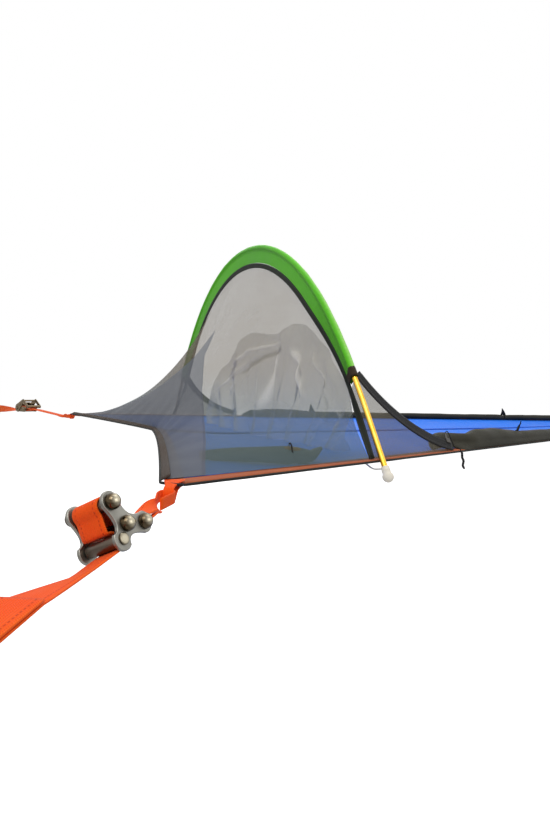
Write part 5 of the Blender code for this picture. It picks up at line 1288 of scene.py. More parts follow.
def sag_at(x, y):
    """How far the floor hangs down at a place, for the sheet and all that lies on it."""
    along = min(max(x / TENT_LENGTH, 0.0), 1.0)
    half = HEAD_WIDTH / 2 * (1 - along)
    over = min(1.0, abs(y) / max(half, 1e-6))
    head = (x - HEAD_SAG * (1 - over**HEAD_CURVE_POWER)) / SAG_HEAD_REACH
    return FLOOR_SAG * (1 - over**SAG_POWER) * eased(head) * min(1.0, half / SAG_FULL_HALF_WIDTH)


def floor_grid():
    first = head_share_at(CORNER_BLUNT)
    foot = np.array([TENT_LENGTH, 0.0, 0.0])
    rows = []
    for r in range(FLOOR_ROWS + 1):
        s = (r / FLOOR_ROWS) ** 1.15
        row = []
        for c in range(FLOOR_COLUMNS):
            t = c / (FLOOR_COLUMNS - 1)
            if t <= 0:
                start = side_cut(NEAR)
            elif t >= 1:
                start = side_cut(FAR)
            else:
                start = head_edge(first + (1 - 2 * first) * t)
            point = start + (foot - start) * min(s, 0.9985)
            x, y, _ = point
            fold = FLOOR_FOLD * lumpy(x * 9.0, y * 26.0, 2.0) * min(1.0, 12 * t * (1 - t))
            near_head = math.exp(-((x - 0.12) / 0.14) ** 2)
            creases = FLOOR_CREASE * math.sin(y * 75.0 / (1.15 - s)) * (1 - s) * near_head
            seam = FLOOR_SEAM * math.exp(-(((t - 0.5) * 2 * HEAD_WIDTH / 2 * (1 - s)) / 0.006) ** 2)
            edge = min(1.0, 9 * t * (1 - t))
            row.append(point + np.array([0.0, 0.0, -sag_at(x, y) + (fold + creases) * edge - seam]))
        rows.append(row)
    return np.array(rows)


HEM_SHORT_OF_FOOT = 0.012
HEM_OUTSIDE = HEM_DIAMETER / 2 + CLEARANCE
HEM_HEIGHT = HEM_DIAMETER / 2 - FLOOR_THICKNESS


def on_head_hem(share):
    return head_edge(share) - head_inward(share) * HEM_OUTSIDE + UP * HEM_HEIGHT


def edge_band(name, stations):
    nodes = [f"{name}_edge_webbing"]
    webbing(f"{name}_edge_band", stations, EDGE_WEBBING_THICKNESS, EDGE, nodes, "edge_webbing", parts=1)


def hem(name, path, nodes=(), radii=None):
    tube(name, path, HEM_DIAMETER / 2, HEM, nodes, "dark_binding", sides=10, radii=radii)


def build_floor():
    points = floor_grid()
    points[:, :, 2] -= FLOOR_THICKNESS / 2
    sizes = (points[:, :, 0], points[:, :, 1])
    floor = cloth("floor_cloth", points, BLUE, ["floor_panel"], "floor_fabric", sizes=sizes, flip=True)
    flap(floor, FLOOR_THICKNESS * 0.6)

    # A darker blue tape along the floor's middle seam, partly painted shade of the crease there.
    stations = []
    for k in range(121):
        x = HEAD_SAG + 0.012 + (TENT_LENGTH - HEAD_SAG - 0.20) * k / 120
        wide = min(SEAM_TAPE_WIDTH, (TENT_LENGTH - x) * 0.25)
        stations.append((np.array([x, 0.0, SEAM_TAPE_HEIGHT - sag_at(x, 0.0)]), ARCH_ACROSS, wide))
    webbing("floor_seam_tape", stations, 0.0016, SEAM_TAPE_AND_SHADE, slot="floor_fabric", parts=1, lanes=4)

    middle = EDGE_WEBBING_INSET + EDGE_WEBBING_WIDTH / 2
    height = CLEARANCE + EDGE_WEBBING_THICKNESS / 2
    start, end = EDGE_WEBBING_SIDE_START, SIDE_LENGTH - EDGE_WEBBING_SIDE_END
    for side, name in SIDES:
        corner = side_point(side, 0.0, middle, height)
        run, inward = side_run(side), side_inward(side)
        stations = []
        for k in range(61):
            way = start + (end - start) * k / 60
            wobble = 0.0004 * lumpy(way * 22.0, 0.0, 5.0 + side)
            stations.append((corner + run * way + inward * wobble, inward, EDGE_WEBBING_WIDTH))
        edge_band(name, stations)
    first = head_share_at(HEAD_WEBBING_SETBACK)
    stations = []
    for share in evenly(first, 60):
        inward = head_inward(share)
        stations.append((head_edge(share) + inward * middle + UP * height, inward, EDGE_WEBBING_WIDTH))
    edge_band("head", stations)

    for side, name in SIDES:
        corner = side_point(side, 0.0, -HEM_OUTSIDE, HEM_HEIGHT)
        points = []
        for k in range(161):
            way = CORNER_BLUNT + (SIDE_LENGTH - HEM_SHORT_OF_FOOT - CORNER_BLUNT) * k / 160
            points.append(corner + side_run(side) * way + UP * 0.0002 * lumpy(way * 60.0, 1.0, side))
        radii = [1.0 + 0.05 * lumpy(k * 0.9, 0.0, 3.0) for k in range(161)]
        hem(f"{name}_edge_hem_tape", points, [f"{name}_edge_hem"], radii)
    first = head_share_at(CORNER_BLUNT)
    points = [on_head_hem(share) for share in evenly(first, 96)]
    hem("head_edge_hem_tape", points, ["head_edge_hem"])


# Hood, cheeks and the loose door


def strips_between(first, second):
    """A cloth cut straight between two edges: its flat area, its longer edge and its longest strip."""
    first, second = np.array(first), np.array(second)
    diagonals = np.cross(second[1:] - first[:-1], first[1:] - second[:-1])
    area = float(np.linalg.norm(diagonals, axis=1).sum() / 2)
    edge = max(float(running_length(first)[-1]), float(running_length(second)[-1]))
    return area, edge, float(np.linalg.norm(second - first, axis=1).max())


# The lower cloth panel's edge: shares across the hood, and how far up from the head edge it lies there
PANEL_ACROSS = (0.0, 0.05, 0.125, 0.217, 0.342, 0.467, 0.5)
PANEL_ALONG = (0.142, 0.167, 0.217, 0.275, 0.383, 0.575, 0.72)
HOOD_PULL_LINES = 0.0012
HOOD_DRAPE = 0.0020
HEAD_TAPE_WIDTH = 0.0120
HEAD_TAPE_THICKNESS = 0.0012


def grid_shares(net):
    """Where a grid's points lie across and along it, from 0 to 1."""
    rows, cols = net.shape[:2]
    across = np.repeat(np.linspace(0, 1, rows)[:, None], cols, axis=1)
    along = np.repeat(np.linspace(0, 1, cols)[None, :], rows, axis=0)
    return across, along


def build_hood():
    edges = hood_points()
    net = denser(edges, 3, 3)
    across, along = grid_shares(net)
    runs = np.gradient(net, axis=0)
    pulls = np.gradient(net, axis=1)
    normals = units(np.cross(runs, pulls))
    inside = np.clip(12 * across * (1 - across), 0, 1) * np.clip(10 * along * (1 - along), 0, 1)
    pull_lines = np.sin(across * 95.0 + 3.0 * np.sin(along * 4.0)) * np.exp(-(((along - 0.06) / 0.22) ** 2))
    drape = lumpy(across * 26.0, along * 7.0, 1.0)
    net = net + normals * (inside * (HOOD_PULL_LINES * pull_lines + HOOD_DRAPE * drape))[:, :, None]
    net[:, :, 2] = np.maximum(net[:, :, 2], HOOD_LIFT * 0.6)
    folded = np.minimum(across, 1 - across)
    edge = np.interp(folded, PANEL_ACROSS, PANEL_ALONG)
    length = np.linalg.norm(pulls, axis=2).sum(axis=1, keepdims=True)
    field = (edge - along) * length
    halves = ["hood_mesh_near", "hood_mesh_far"]
    hood = cloth("hood_cloth", net, HOOD_NET, halves, "netting", fields={"panel": field}, flip=True)
    area, edge, depth = strips_between(edges[:, 0], edges[:, -1])

    first = head_share_at(CORNER_BLUNT + HOOD_INSET)
    stations = []
    for share in evenly(first, 72):
        inward = head_inward(share)
        middle = head_edge(share) + inward * 0.0046 + UP * (HOOD_LIFT + HEAD_TAPE_THICKNESS)
        stations.append((middle, unit(inward + UP * 0.55), HEAD_TAPE_WIDTH))
    webbing("hood_head_tape", stations, HEAD_TAPE_THICKNESS, HEAD_TAPE, slot="dark_binding", parts=1, lanes=3)


CHEEK_CLOTH_SHARE = 0.099
CHEEK_BELLY = 0.003
CHEEK_DRAPE = 0.0006
ZIP_PITCH = 0.0019
ZIP_TOOTH = (0.0030, 0.0011, 0.0026)  # across the tape, along it and through it
ZIP_TOOTH_SLIM = 0.62  # share of the last two sizes at the tooth's inner end


def cheek_base(t, side):
    """The cheek's long side: down the arch binding's foot side, then along the floor edge."""
    if t <= CHEEK_FOLD_SHARE:
        share = CHEEK_CLOTH_SHARE + (BINDING_FOOT_SHARE - CHEEK_CLOTH_SHARE) * t / CHEEK_FOLD_SHARE
        share = share if side == NEAR else 1 - share
        middle, direction = binding_station(share)
        point = middle - direction * (BINDING_WIDTH / 2 - 0.0015)
        point[2] = max(point[2], CHEEK_LIFT)
        return point
    start = cheek_base(CHEEK_FOLD_SHARE, side)
    end = side_point(side, DOOR_FOOT_X - DOOR_BINDING_WIDTH, HOOD_INSET, CHEEK_LIFT)
    return start + (end - start) * (t - CHEEK_FOLD_SHARE) / (1 - CHEEK_FOLD_SHARE)


def build_cheeks():
    for side, name in SIDES:
        half = door_arc(side)[4]
        rows = []
        for i in range(41):
            t = i / 40
            turn = -half + 2 * half * t
            outer = door_point(side, turn, DOOR_BINDING_WIDTH / 2 - 0.001)
            base = cheek_base(t, side)
            row = []
            for j in range(17):
                s = j / 16
                point = outer + (base - outer) * s
                belly = CHEEK_BELLY * math.sin(math.pi * s) * math.sin(math.pi * t)
                drape = CHEEK_DRAPE * lumpy(t * 14.0, s * 9.0, side + 2.0) * math.sin(math.pi * s)
                point = point + side_inward(side) * (belly + drape)
                point[2] = max(point[2], CHEEK_LIFT * 0.7)
                row.append(point)
            rows.append(row)
        cheek = cloth(f"cheek_cloth_{name}", rows, CHEEK_NET, [f"cheek_mesh_{name}"], "netting")


def build_door_tapes():
    """The curved zip tapes of the door: folded tape, and the coil along its inner edge."""
    for side, name in SIDES:
        _, radius, bulge, chord, half = door_arc(side)
        stations = []
        for k in range(49):
            turn = -half + 2 * half * k / 48
            middle = door_point(side, turn, 0.0012)
            stations.append((middle, door_radial(side, turn), DOOR_BINDING_WIDTH * 1.2))
        tape, nodes = f"door_tape_{name}", [f"door_binding_{name}"]
        webbing(tape, stations, DOOR_BINDING_THICKNESS, DOOR_TAPE, nodes, "dark_binding", parts=1)
        bm = bmesh.new()
        normal = Vector(np.cross(bulge, chord) * -side)
        for k in range(4, int(2 * half * radius / ZIP_PITCH) - 1):
            turn = -half + k * ZIP_PITCH / radius
            radial = Vector(door_radial(side, turn))
            axes = Matrix((radial, normal.cross(radial), normal)).transposed().to_4x4()
            place = Vector(door_point(side, turn, -DOOR_BINDING_WIDTH / 2 - 0.0003) + OFFSET)
            made = bmesh.ops.create_cube(bm, size=1.0, matrix=Matrix.Translation(place) @ axes)
            for vert in made["verts"]:
                local = axes.inverted() @ (vert.co - place)
                slim = ZIP_TOOTH_SLIM if local.x < 0 else 1.0
                sized = [c * size * s for c, size, s in zip(local, ZIP_TOOTH, (1.0, slim, slim))]
                vert.co = place + axes @ Vector(sized)
        mesh = bpy.data.meshes.new(f"zip_coil_{name}")
        bm.to_mesh(mesh)
        bm.free()
        mesh.uv_layers.new(name="UVMap")
        piece(f"zip_coil_{name}", mesh, ZIP_COIL)


DOOR_CLOTH_COLUMNS = 161
DOOR_CLOTH_ROWS = 61
DOOR_GATHER_DEPTH = 0.020
DOOR_CRUMPLE = 0.0035
DOOR_SLUMP = 0.010
DOOR_LONG_FOLD = 0.009
DOOR_SWAY = 0.004
# Each long fold's start across and down, its end across and down, its width and its strength; a fold with a
# positive strength stands out and gets painted highlights and glow, a negative one sinks in and gets painted
# shade
DOOR_FOLDS = (
    (0.62, 0.13, 0.79, 0.62, 0.022, 1.00),
    (0.72, 0.10, 0.90, 0.48, 0.011, 0.60),
    (0.56, 0.12, 0.50, 0.86, 0.020, 0.90),
    (0.47, 0.30, 0.45, 0.92, 0.010, 0.60),
    (0.60, 0.05, 0.10, 0.36, 0.015, 0.80),
    (0.42, 0.20, 0.20, 0.62, 0.014, 0.65),
    (0.30, 0.14, 0.12, 0.52, 0.012, 0.50),
    (0.57, 0.12, 0.30, 0.44, 0.020, -0.80),
    (0.66, 0.25, 0.70, 0.75, 0.016, -0.60),
    (0.36, 0.12, 0.15, 0.42, 0.014, -0.55),
    (0.83, 0.30, 0.92, 0.80, 0.014, -0.50),
    (0.90, 0.34, 0.96, 0.80, 0.010, 0.50),
)


def fold_at(across, down):
    """How far the gathered netting stands out (or, below 0, in) along its long folds."""
    total = 0.0
    for start, high, end, low, width, strength in DOOR_FOLDS:
        run = (end - start, (low - high) * 0.8)
        way = (across - start, (down - high) * 0.8)
        t = min(1.0, max(0.0, (way[0] * run[0] + way[1] * run[1]) / (run[0] ** 2 + run[1] ** 2)))
        off = math.hypot(way[0] - run[0] * t, way[1] - run[1] * t)
        ends = eased(t / 0.25) * eased((1 - t) / 0.35)
        total += strength * ends * math.exp(-((off / width) ** 2))
    return total


def build_door_cloth():
    """The unzipped door netting, gathered in the arch: a slack crest, deep folds and a crumpled hem."""
    crest = [(across * HEAD_WIDTH, height * HEAD_WIDTH, 0.0) for across, height in DOOR_MESH_CREST_SHARES]
    top = smooth_path(crest, DOOR_CLOTH_COLUMNS)
    near_low, far_low = [share * HEAD_WIDTH for share in DOOR_MESH_FOOT_SHARES]
    rows = []
    folds = []
    for j in range(DOOR_CLOTH_ROWS):
        down = j / (DOOR_CLOTH_ROWS - 1)
        row = []
        fold_row = []
        for i in range(DOOR_CLOTH_COLUMNS):
            across = i / (DOOR_CLOTH_COLUMNS - 1)
            y_top, z_top, _ = top[i]
            y_low = near_low + across * (far_low - near_low)
            waves = math.sin(2 * math.pi * (3.1 * across + 0.15))
            gather = DOOR_GATHER_DEPTH * waves * math.sin(math.pi * down) * (1 - across)
            y = y_top + (y_low - y_top) * down + gather
            drift = 0.22 * math.sin(5.0 * across + 2.0 * down)
            phase = 2 * math.pi * (DOOR_MESH_FOLDS * 1.6 * across + drift)
            deep = 0.004 + 0.013 * down**0.8
            fold = deep * (0.70 * math.sin(phase) + 0.45 * math.sin(phase * 1.93 + 1.1 + 1.5 * down))
            crumple = DOOR_CRUMPLE * lumpy(across * 60.0, down * 24.0, 6.0) * (0.4 + 0.6 * down)
            near_crest = math.exp(-((down - 0.12) / 0.10) ** 2)
            slump = DOOR_SLUMP * near_crest * math.sin(2 * math.pi * 4.3 * across + 0.8)
            long_fold = fold_at(across, down)
            fold_row.append(long_fold)
            lean = DOOR_MESH_LEAN * (1 - down)
            x = DOOR_MESH_X + fold + crumple + slump + lean - DOOR_LONG_FOLD * long_fold
            floor = DOOR_MESH_LIFT + 0.0006 - sag_at(x, y)
            sway = DOOR_SWAY * math.sin(phase * 0.5 + 1.0) * (1 - down) * min(1.0, 8 * down)
            row.append((x, y, max(z_top + (floor - z_top) * down + sway, floor)))
        rows.append(row)
        folds.append(fold_row)
    # The fold field also paints the netting: highlights and glow on the outward folds, shade in the inward
    # ones.
    door = cloth("door_cloth", rows, DOOR_NET, ["door_mesh"], "netting", fields={"fold": folds}, flip=True)


# Sleeve and arch binding

SLEEVE_AROUND = 0.00555
SLEEVE_SLACK = 0.0020
SLEEVE_RIPPLE = 0.00045
SLEEVE_OPENING_DEGREES = 48.0
RIDGE_COLUMN = 20.5
SLEEVE_THROAT = 0.006
CUFF_CLEAR = 0.0007


def web_side(share, width, salt, sign):
    """One layer of the sleeve's web, from its sewn edge to the pole, puffed a little."""
    side = []
    for t in np.linspace(0, 1, 9).tolist():
        bulge = math.sin(math.pi * t)
        puff = 0.0007 * bulge + 0.00035 * bulge * lumpy(share * 150.0, t * 3.0, salt)
        aside = 0.0006 + puff + 0.0022 * t**2
        side.append(web_point(share, width - (width - SLEEVE_THROAT) * t, sign * aside))
    return side


def build_sleeve():
    shares = evenly(SLEEVE_END_SHARE, 150)
    angles = np.linspace(SLEEVE_OPENING_DEGREES, 360.0 - SLEEVE_OPENING_DEGREES, 21)
    points = []
    for share in shares:
        width = web_width(share)
        near_end = math.exp(-(((from_end(share) - SLEEVE_END_SHARE) / 0.014) ** 2))
        loose = SLEEVE_SLACK * (1 - 0.55 * near_end)
        ripple = SLEEVE_RIPPLE * lumpy(share * 210.0, 0.0, 8.0)
        row = web_side(share, width, 9.0, 1)
        for angle in angles:
            turn = math.radians(angle)
            out = SLEEVE_AROUND + loose * (0.5 - 0.5 * math.cos(turn)) + ripple
            pucker = 0.00035 * near_end * math.sin(9 * turn)
            reach = out + pucker
            row.append(web_point(share, -loose * 0.7 + reach * math.cos(turn), reach * math.sin(turn)))
        points.append(row + web_side(share, width, 4.0, -1)[::-1])
    points = np.array(points)
    columns = np.arange(points.shape[1])
    # Painted highlight along the outermost columns of the sleeve's tube, where light glows through its loose
    # edge.
    ridge_highlight = np.exp(-(((columns - RIDGE_COLUMN) / 2.6) ** 2))
    fields = {"ridge_highlight": np.repeat(ridge_highlight[None, :], len(points), axis=0)}
    sleeve = cloth("sleeve_cloth", points, GREEN, ["arch_sleeve"], "sleeve_fabric", fields=fields)

    for share, sign, name in ((SLEEVE_END_SHARE, 1, "near"), (1 - SLEEVE_END_SHARE, -1, "far")):
        cuff = []
        for k in range(7):
            at = share + sign * (-0.0010 + 0.0115 * k / 6)
            width = web_width(at)
            web = ((width, 0.0016), (width * 0.72, 0.0021), (width * 0.45, 0.0028), (0.0064, 0.0052))
            ring = [web_point(at, along, aside + CUFF_CLEAR) for along, aside in web]
            for angle in np.linspace(50.0, 310.0, 15):
                turn = math.radians(angle)
                out = SLEEVE_AROUND + CUFF_CLEAR + 0.0009 * (0.5 - 0.5 * math.cos(turn)) + 0.0003
                ring.append(web_point(at, out * math.cos(turn) - 0.0006, out * math.sin(turn)))
            ring += [web_point(at, along, -aside - CUFF_CLEAR) for along, aside in reversed(web)]
            cuff.append(ring)
        flap(cloth(f"sleeve_cuff_{name}", cuff, CUFF, slot="dark_binding"), 0.0006, 1.0)


def build_arch_tape():
    stations = []
    for share in evenly(BINDING_FOOT_SHARE, 160):
        middle, direction = binding_station(share)
        stations.append((middle, direction, BINDING_WIDTH))
    nodes = ["arch_binding"]
    webbing("arch_binding_tape", stations, BINDING_THICKNESS * 0.9, BINDING, nodes, "dark_binding", parts=1)


# Rolled flaps

ROLL_TURNS = 3.3
ROLL_CORE = 0.30
ROLL_GROWTH = 0.8
ROLL_FLATNESS = 0.93
ROLL_GATHER = 0.046
ROLL_STATIONS = 170
ROLL_SPIRAL_STEPS = 120
ROLL_END_DEGREES = 188.0
ROLL_BESIDE_SLIDER = 0.0255
TIE_PINCH = 0.15
TIE_PINCH_REACH = 0.013
FAR_ROLL_FULLER = 1.80
NEAR_ROLL_FULLER = 1.06
HEAD_ROLL_FULLER = 1.55


def rolled_flap(name, stations, material, nodes, hems=None):
    """A rolled-up flap with its hem: a spiral along (middle, radius, inward, up, along) stations."""
    count = ROLL_SPIRAL_STEPS
    rows = []
    for r, (middle, radius, first, second, along) in enumerate(stations):
        row = []
        for k in range(count + 1):
            share = k / count
            turn = math.radians(ROLL_END_DEGREES) - 2 * math.pi * ROLL_TURNS * (1 - share)
            grow = ROLL_CORE + (1 - ROLL_CORE) * share**ROLL_GROWTH
            drag = 0.030 * math.sin(3 * turn + along * 21.0) + 0.050 * lumpy(along * 24.0, turn * 1.1, 2.0)
            slant = 0.026 * math.sin(2 * turn - along * 64.0 + 1.3 * math.sin(along * 17.0))
            height = 1 + math.sin(turn)
            fan = math.atan2(height * radius, along + 0.004)
            gather = 0.10 * math.sin(13.0 * fan) * math.exp(-along / 0.070)
            place = 1.05 * math.cos(turn) * first + ROLL_FLATNESS * math.sin(turn) * second
            row.append(middle + place * radius * grow * (1 + drag + slant + gather))
        if hems is not None:
            for t in (0.35, 0.7, 1.0):
                row.append(row[count] * (1 - t) + hems[r] * t - first * (0.0012 * math.sin(math.pi * t)))
        rows.append(row)
    roll = cloth(name, rows, material, nodes, "flap_fabric", flip=True)
    turns = 2 * math.pi * ROLL_TURNS * (ROLL_CORE + (1 - ROLL_CORE) / (1 + ROLL_GROWTH))
    widths = [radius * turns for _, radius, _, _, _ in stations]
    if hems is not None:
        outer_ends = [middle - first * radius for middle, radius, first, _, _ in stations]
        loose = [float(np.linalg.norm(hem - end)) for hem, end in zip(hems, outer_ends)]
        widths = [width + more for width, more in zip(widths, loose)]


def roll_first(side, start):
    """Where a roll's cloth begins: the near one is gathered up ahead of its solid."""
    return start - ROLL_GATHER if side == NEAR else start


def cloth_roll_at(name, x):
    """A cloth roll's middle and radius at a place along the tent."""
    side, start, end, radius = ROLLS[name]
    more = NEAR_ROLL_FULLER if side == NEAR else FAR_ROLL_FULLER
    size = roll_radius(max(x, start + 0.055), start, end, radius) * more
    size *= 0.10 + 0.90 * math.sqrt(min(1.0, max(0.0, (x - roll_first(side, start)) / 0.034)))
    for tied in (NEAR_TIE_X,) if side == NEAR else FAR_TIE_XS:
        size *= 1 - TIE_PINCH * math.exp(-(((x - tied) / TIE_PINCH_REACH) ** 2))
    size *= 1 + 0.035 * lumpy(x * 26.0, 0.0, 3.0 + side)
    if side == NEAR:
        beside_tape = ROLL_BESIDE_SLIDER * (1 - eased((x - start - 0.006) / 0.060))
        inset = EDGE_WEBBING_INSET + size * 0.98 + beside_tape
        height = roll_base() + size * ROLL_FLATNESS - 0.0008
    else:
        inset = EDGE_WEBBING_INSET + size * 1.15 + 0.009
        height = roll_base() + size * ROLL_FLATNESS - 0.0030
    return side_point(side, x, inset, height), size


def build_rolls():
    for name, (side, start, end, _) in ROLLS.items():
        stations = []
        hems = []
        first = roll_first(side, start)
        for k in range(ROLL_STATIONS + 1):
            x = first + (end - first) * (k / ROLL_STATIONS) ** 1.6
            middle, size = cloth_roll_at(name, x)
            stations.append((middle, size, side_inward(side), UP, x - first))
            sewn = eased((x - start - 0.002) / 0.020) if side == NEAR else 1.0
            at_roll = middle - side_inward(side) * size * 0.9 - UP * size * 0.75
            hems.append(side_point(side, x, -0.0008, 0.0022) * sewn + at_roll * (1 - sewn))
        rolled_flap(f"{name}_cloth", stations, FLAP, [name], hems)

    shares = [share * NEAR_HEAD_ROLL_RADIUS for share in NEAR_HEAD_ROLL_RADIUS_SHARES]
    places = zip(NEAR_HEAD_ROLL_PATH_SHARES, shares)
    knots = [(x * HEAD_WIDTH, y * HEAD_WIDTH, size) for (x, y), size in places]
    path = smooth_path(knots, 64)
    points = []
    for k, (x, y, size) in enumerate(path):
        rise = NEAR_HEAD_ROLL_TIP_RISE * 1.3 * max(0.0, 4 * k / (len(path) - 1) - 3)
        points.append((x, y, size * HEAD_ROLL_FULLER * ROLL_FLATNESS + CLEARANCE + rise - sag_at(x, y)))
    _, first, second = frames_along(points)
    ways = running_length(np.array(points))
    stations = []
    for k, (point, row) in enumerate(zip(points, path)):
        size = row[2] * HEAD_ROLL_FULLER * (1 + 0.05 * lumpy(k * 0.35, 0.0, 12.0))
        stations.append((np.array(point), size, first[k], second[k], float(ways[k])))
    rolled_flap("near_roll_head_cloth", stations, HEAD_FLAP, ["near_roll_head"])
    return points, path


TIE_TAB = ((0.0, 0.024), (0.22, 0.020), (0.5, 0.0135), (0.8, 0.0070), (1.0, 0.0022))  # share of height, width


def tie(number, path, radius, **options):
    name, node = f"roll_tie_cord_{number}", f"roll_tie_{number}"
    tube(name, path, radius, BLACK_CORD, [node], "black_cord", sides=10, **options)


def build_ties(head_points, head_path):
    thick = ROLL_TIE_DIAMETER / 2
    ties = [("near_roll_foot", NEAR_TIE_X)] + [("far_roll_foot", x) for x in FAR_TIE_XS]
    for number, (roll, x) in enumerate(ties, 2):
        side = ROLLS[roll][0]
        middle, size = cloth_roll_at(roll, x)
        middle = Vector(middle)
        inward = Vector(side_inward(side))
        up = Vector(UP)
        reach = size * 1.05 + thick * 0.6
        knots = [middle + up * (reach + ROLL_TIE_TAIL * 0.92) - inward * size * 0.5]
        knots.append(middle + up * (reach + ROLL_TIE_TAIL * 0.45) - inward * size * 0.30)
        for degrees in range(84, -46, -13):
            turn = math.radians(degrees)
            knots.append(middle + (math.cos(turn) * inward + math.sin(turn) * up) * reach)
        path = spread(np.array([tuple(k) for k in knots]), 4)
        radii = [1.0 + 0.9 * math.exp(-((k - 9) / 3.5) ** 2) for k in range(len(path))]
        tie(number, path, thick * 0.72, radii=radii)
        top = middle + up * (reach - thick)
        run = Vector(side_run(side))
        lean, tall = (-0.25, 0.030) if side == FAR else (0.95, 0.019)
        tab = []
        across = np.array((run + inward * 0.25).normalized())
        for share, width in TIE_TAB:
            high, beside, curl = tall * share, tall * share * lean, 0.003 * math.sin(3 * share)
            tab.append((np.array(top + up * high + run * beside + inward * curl), across, width))
        webbing(f"roll_tie_tab_{number}", tab, 0.0016, BLACK_TAPE, slot="black_cord", parts=4, lanes=4)

    k = round(NEAR_HEAD_TIE_SHARE * (len(head_path) - 1))
    middle = Vector(head_points[k])
    ahead = (Vector(head_points[k + 1]) - Vector(head_points[k - 1])).normalized()
    up = Vector(UP)
    out = ahead.cross(up)
    out = out if out.dot(Vector(side_inward(NEAR))) < 0 else -out
    reach = head_path[k][2] * HEAD_ROLL_FULLER * 1.06 + thick * 0.6
    turns = (0.3, 0.9, 1.5, 2.1, 2.7)
    knots = [middle + (up * math.sin(turn) - out * math.cos(turn)) * reach for turn in turns]
    laid = roll_base() + thick * 0.8
    for share in (1.5, 1.15, 0.9):
        place = side_point(NEAR, middle.x + reach * (2 - share), EDGE_WEBBING_WIDTH * share)
        knots.append(Vector(place) + up * laid)
    path = spread(np.array([tuple(k) for k in knots]), 5)
    tie(1, path, thick * 0.75)


# Straps, loops and the wound webbing


def build_corner_loops():
    thick = STRAP_THICKNESS
    for side, name in (*SIDES, (0, "foot")):
        run = strap_run(side)
        centre = loop_centre(side)
        across = across_of(run)
        tip = corner_tip(side)
        flat = -FLOOR_THICKNESS - CLEARANCE - thick / 2
        wide = NEAR_STRAP_WIDTH
        narrow = CORNER_LOOP_WIDTH * 1.9
        radius = CORNER_LOOP_RADIUS + thick / 2
        lower = flat - thick - CLEARANCE * 2
        reach = CORNER_LOOP_REACH * 0.1
        above = thick / 2 + CLEARANCE + 0.0004
        stations = [
            (tip - run * 0.018 + UP * above, across, wide),
            (tip - run * 0.010 + UP * above, across, wide * 0.96),
            (tip + run * reach + UP * above * 0.8, across, narrow * 1.1),
        ]
        for dx, dz in arc_points((0.0, 0.0), radius, 80.0, -80.0, 12):
            stations.append((centre + run * dx + UP * dz, across, CORNER_LOOP_WIDTH * 1.5))
        stations += [
            (tip + run * reach + UP * (lower - thick), across, narrow),
            (tip - run * CORNER_LOOP_LEG * 0.5 + UP * lower, across, wide),
            (tip - run * CORNER_LOOP_LEG + UP * lower, across, wide),
        ]
        nodes = [f"corner_loop_{name}"]
        webbing(f"corner_loop_band_{name}", stations, thick, ORANGE, nodes, "orange_webbing")


def fuller(stations):
    """A hitch's webbing, bunched up to its full bulk where it turns round the loop."""
    narrow, wide = CORNER_LOOP_WIDTH * 1.1, CORNER_LOOP_WIDTH * 1.6
    return [(point, across, wide if width < narrow else width) for point, across, width in stations]


def turned_like(stations, following):
    """The following stations, with their widths turned to the side that the first ones end on."""
    away = float(np.dot(stations[-1][1], following[0][1])) < 0
    return [(point, -across if away else across, width) for point, across, width in following]


def loop_round(bolt, reach, ends, opening, lean_degrees=0.0):
    """A strap's path to a bolt, round it and back; ends are (distance ahead, distance aside)."""
    lean = math.radians(lean_degrees)
    ahead = np.array([math.cos(lean), math.sin(lean)])
    aside = np.array([-ahead[1], ahead[0]])
    there = [np.array(bolt) + ahead * far - aside * off for far, off in ends]
    back = [np.array(bolt) + ahead * far + aside * off for far, off in ends[::-1]]
    return [*there, *arc_points(bolt, reach, -opening, opening - 360.0, 14), *back]


def build_near_straps():
    width = NEAR_STRAP_WIDTH
    gap = STRAP_THICKNESS / 2 + CLEARANCE * 1.5
    bolt_reach = LOCK_BOLT_DIAMETER / 2 + gap
    roller_reach = LOCK_ROLLER_DIAMETER / 2 + gap
    ends = ((0.030, gap), (0.012, gap + bolt_reach * 0.35))
    loop = loop_round(lobe_centre("tent"), bolt_reach, ends, 70.0, -13.0)
    stations = fuller(hitch_stations(NEAR, width))
    lock_stations = turned_like(stations, lock_path(loop[::-1], width))
    middle = []
    for t in (0.35, 0.7):
        point, across = [a * (1 - t) + b * t for a, b in zip(stations[-1][:2], lock_stations[0][:2])]
        middle.append((point, unit(across), width))
    band = stations + middle + lock_stations
    webbing("near_short_band", band, STRAP_THICKNESS, ORANGE, ["near_short_strap"], "orange_webbing")

    top = lobe_centre("top")
    tree = lobe_centre("tree")
    path = [(y * bolt_reach, z * bolt_reach) for y, z in LOCK_TUCK_SHARES]
    path.append((top[0] - roller_reach, top[1] - bolt_reach))
    path += arc_points(top, roller_reach, 180.0, 0.0, 12)
    path += arc_points((0.0, 0.0), bolt_reach + 2 * STRAP_THICKNESS, 10.0, -75.0, 7)
    path += arc_points(tree, roller_reach, -75.0, -110.0, 4)
    out_way = unit(np.array(TENT_LOCK.to_3x3().inverted() @ Vector(strap_run(NEAR)))[1:])
    last = np.array(path[-1])
    for ahead_by in (1.0, 2.5):
        path.append(tuple(last + out_way * LOCK_CAP_DIAMETER * ahead_by))
    stations = lock_path(path, width, -LOCK_STRAP_SHIFT, LOCK_STRAP_SHIFT)
    eye_across = facing(across_of(strap_run(NEAR)), stations[-1][1])
    band = stations + eye_stations(NEAR, NEAR_STRAP_REACH, width, 0.0, eye_across)
    webbing("near_tree_band", band, STRAP_THICKNESS, ORANGE, ["near_tree_strap"], "orange_webbing")


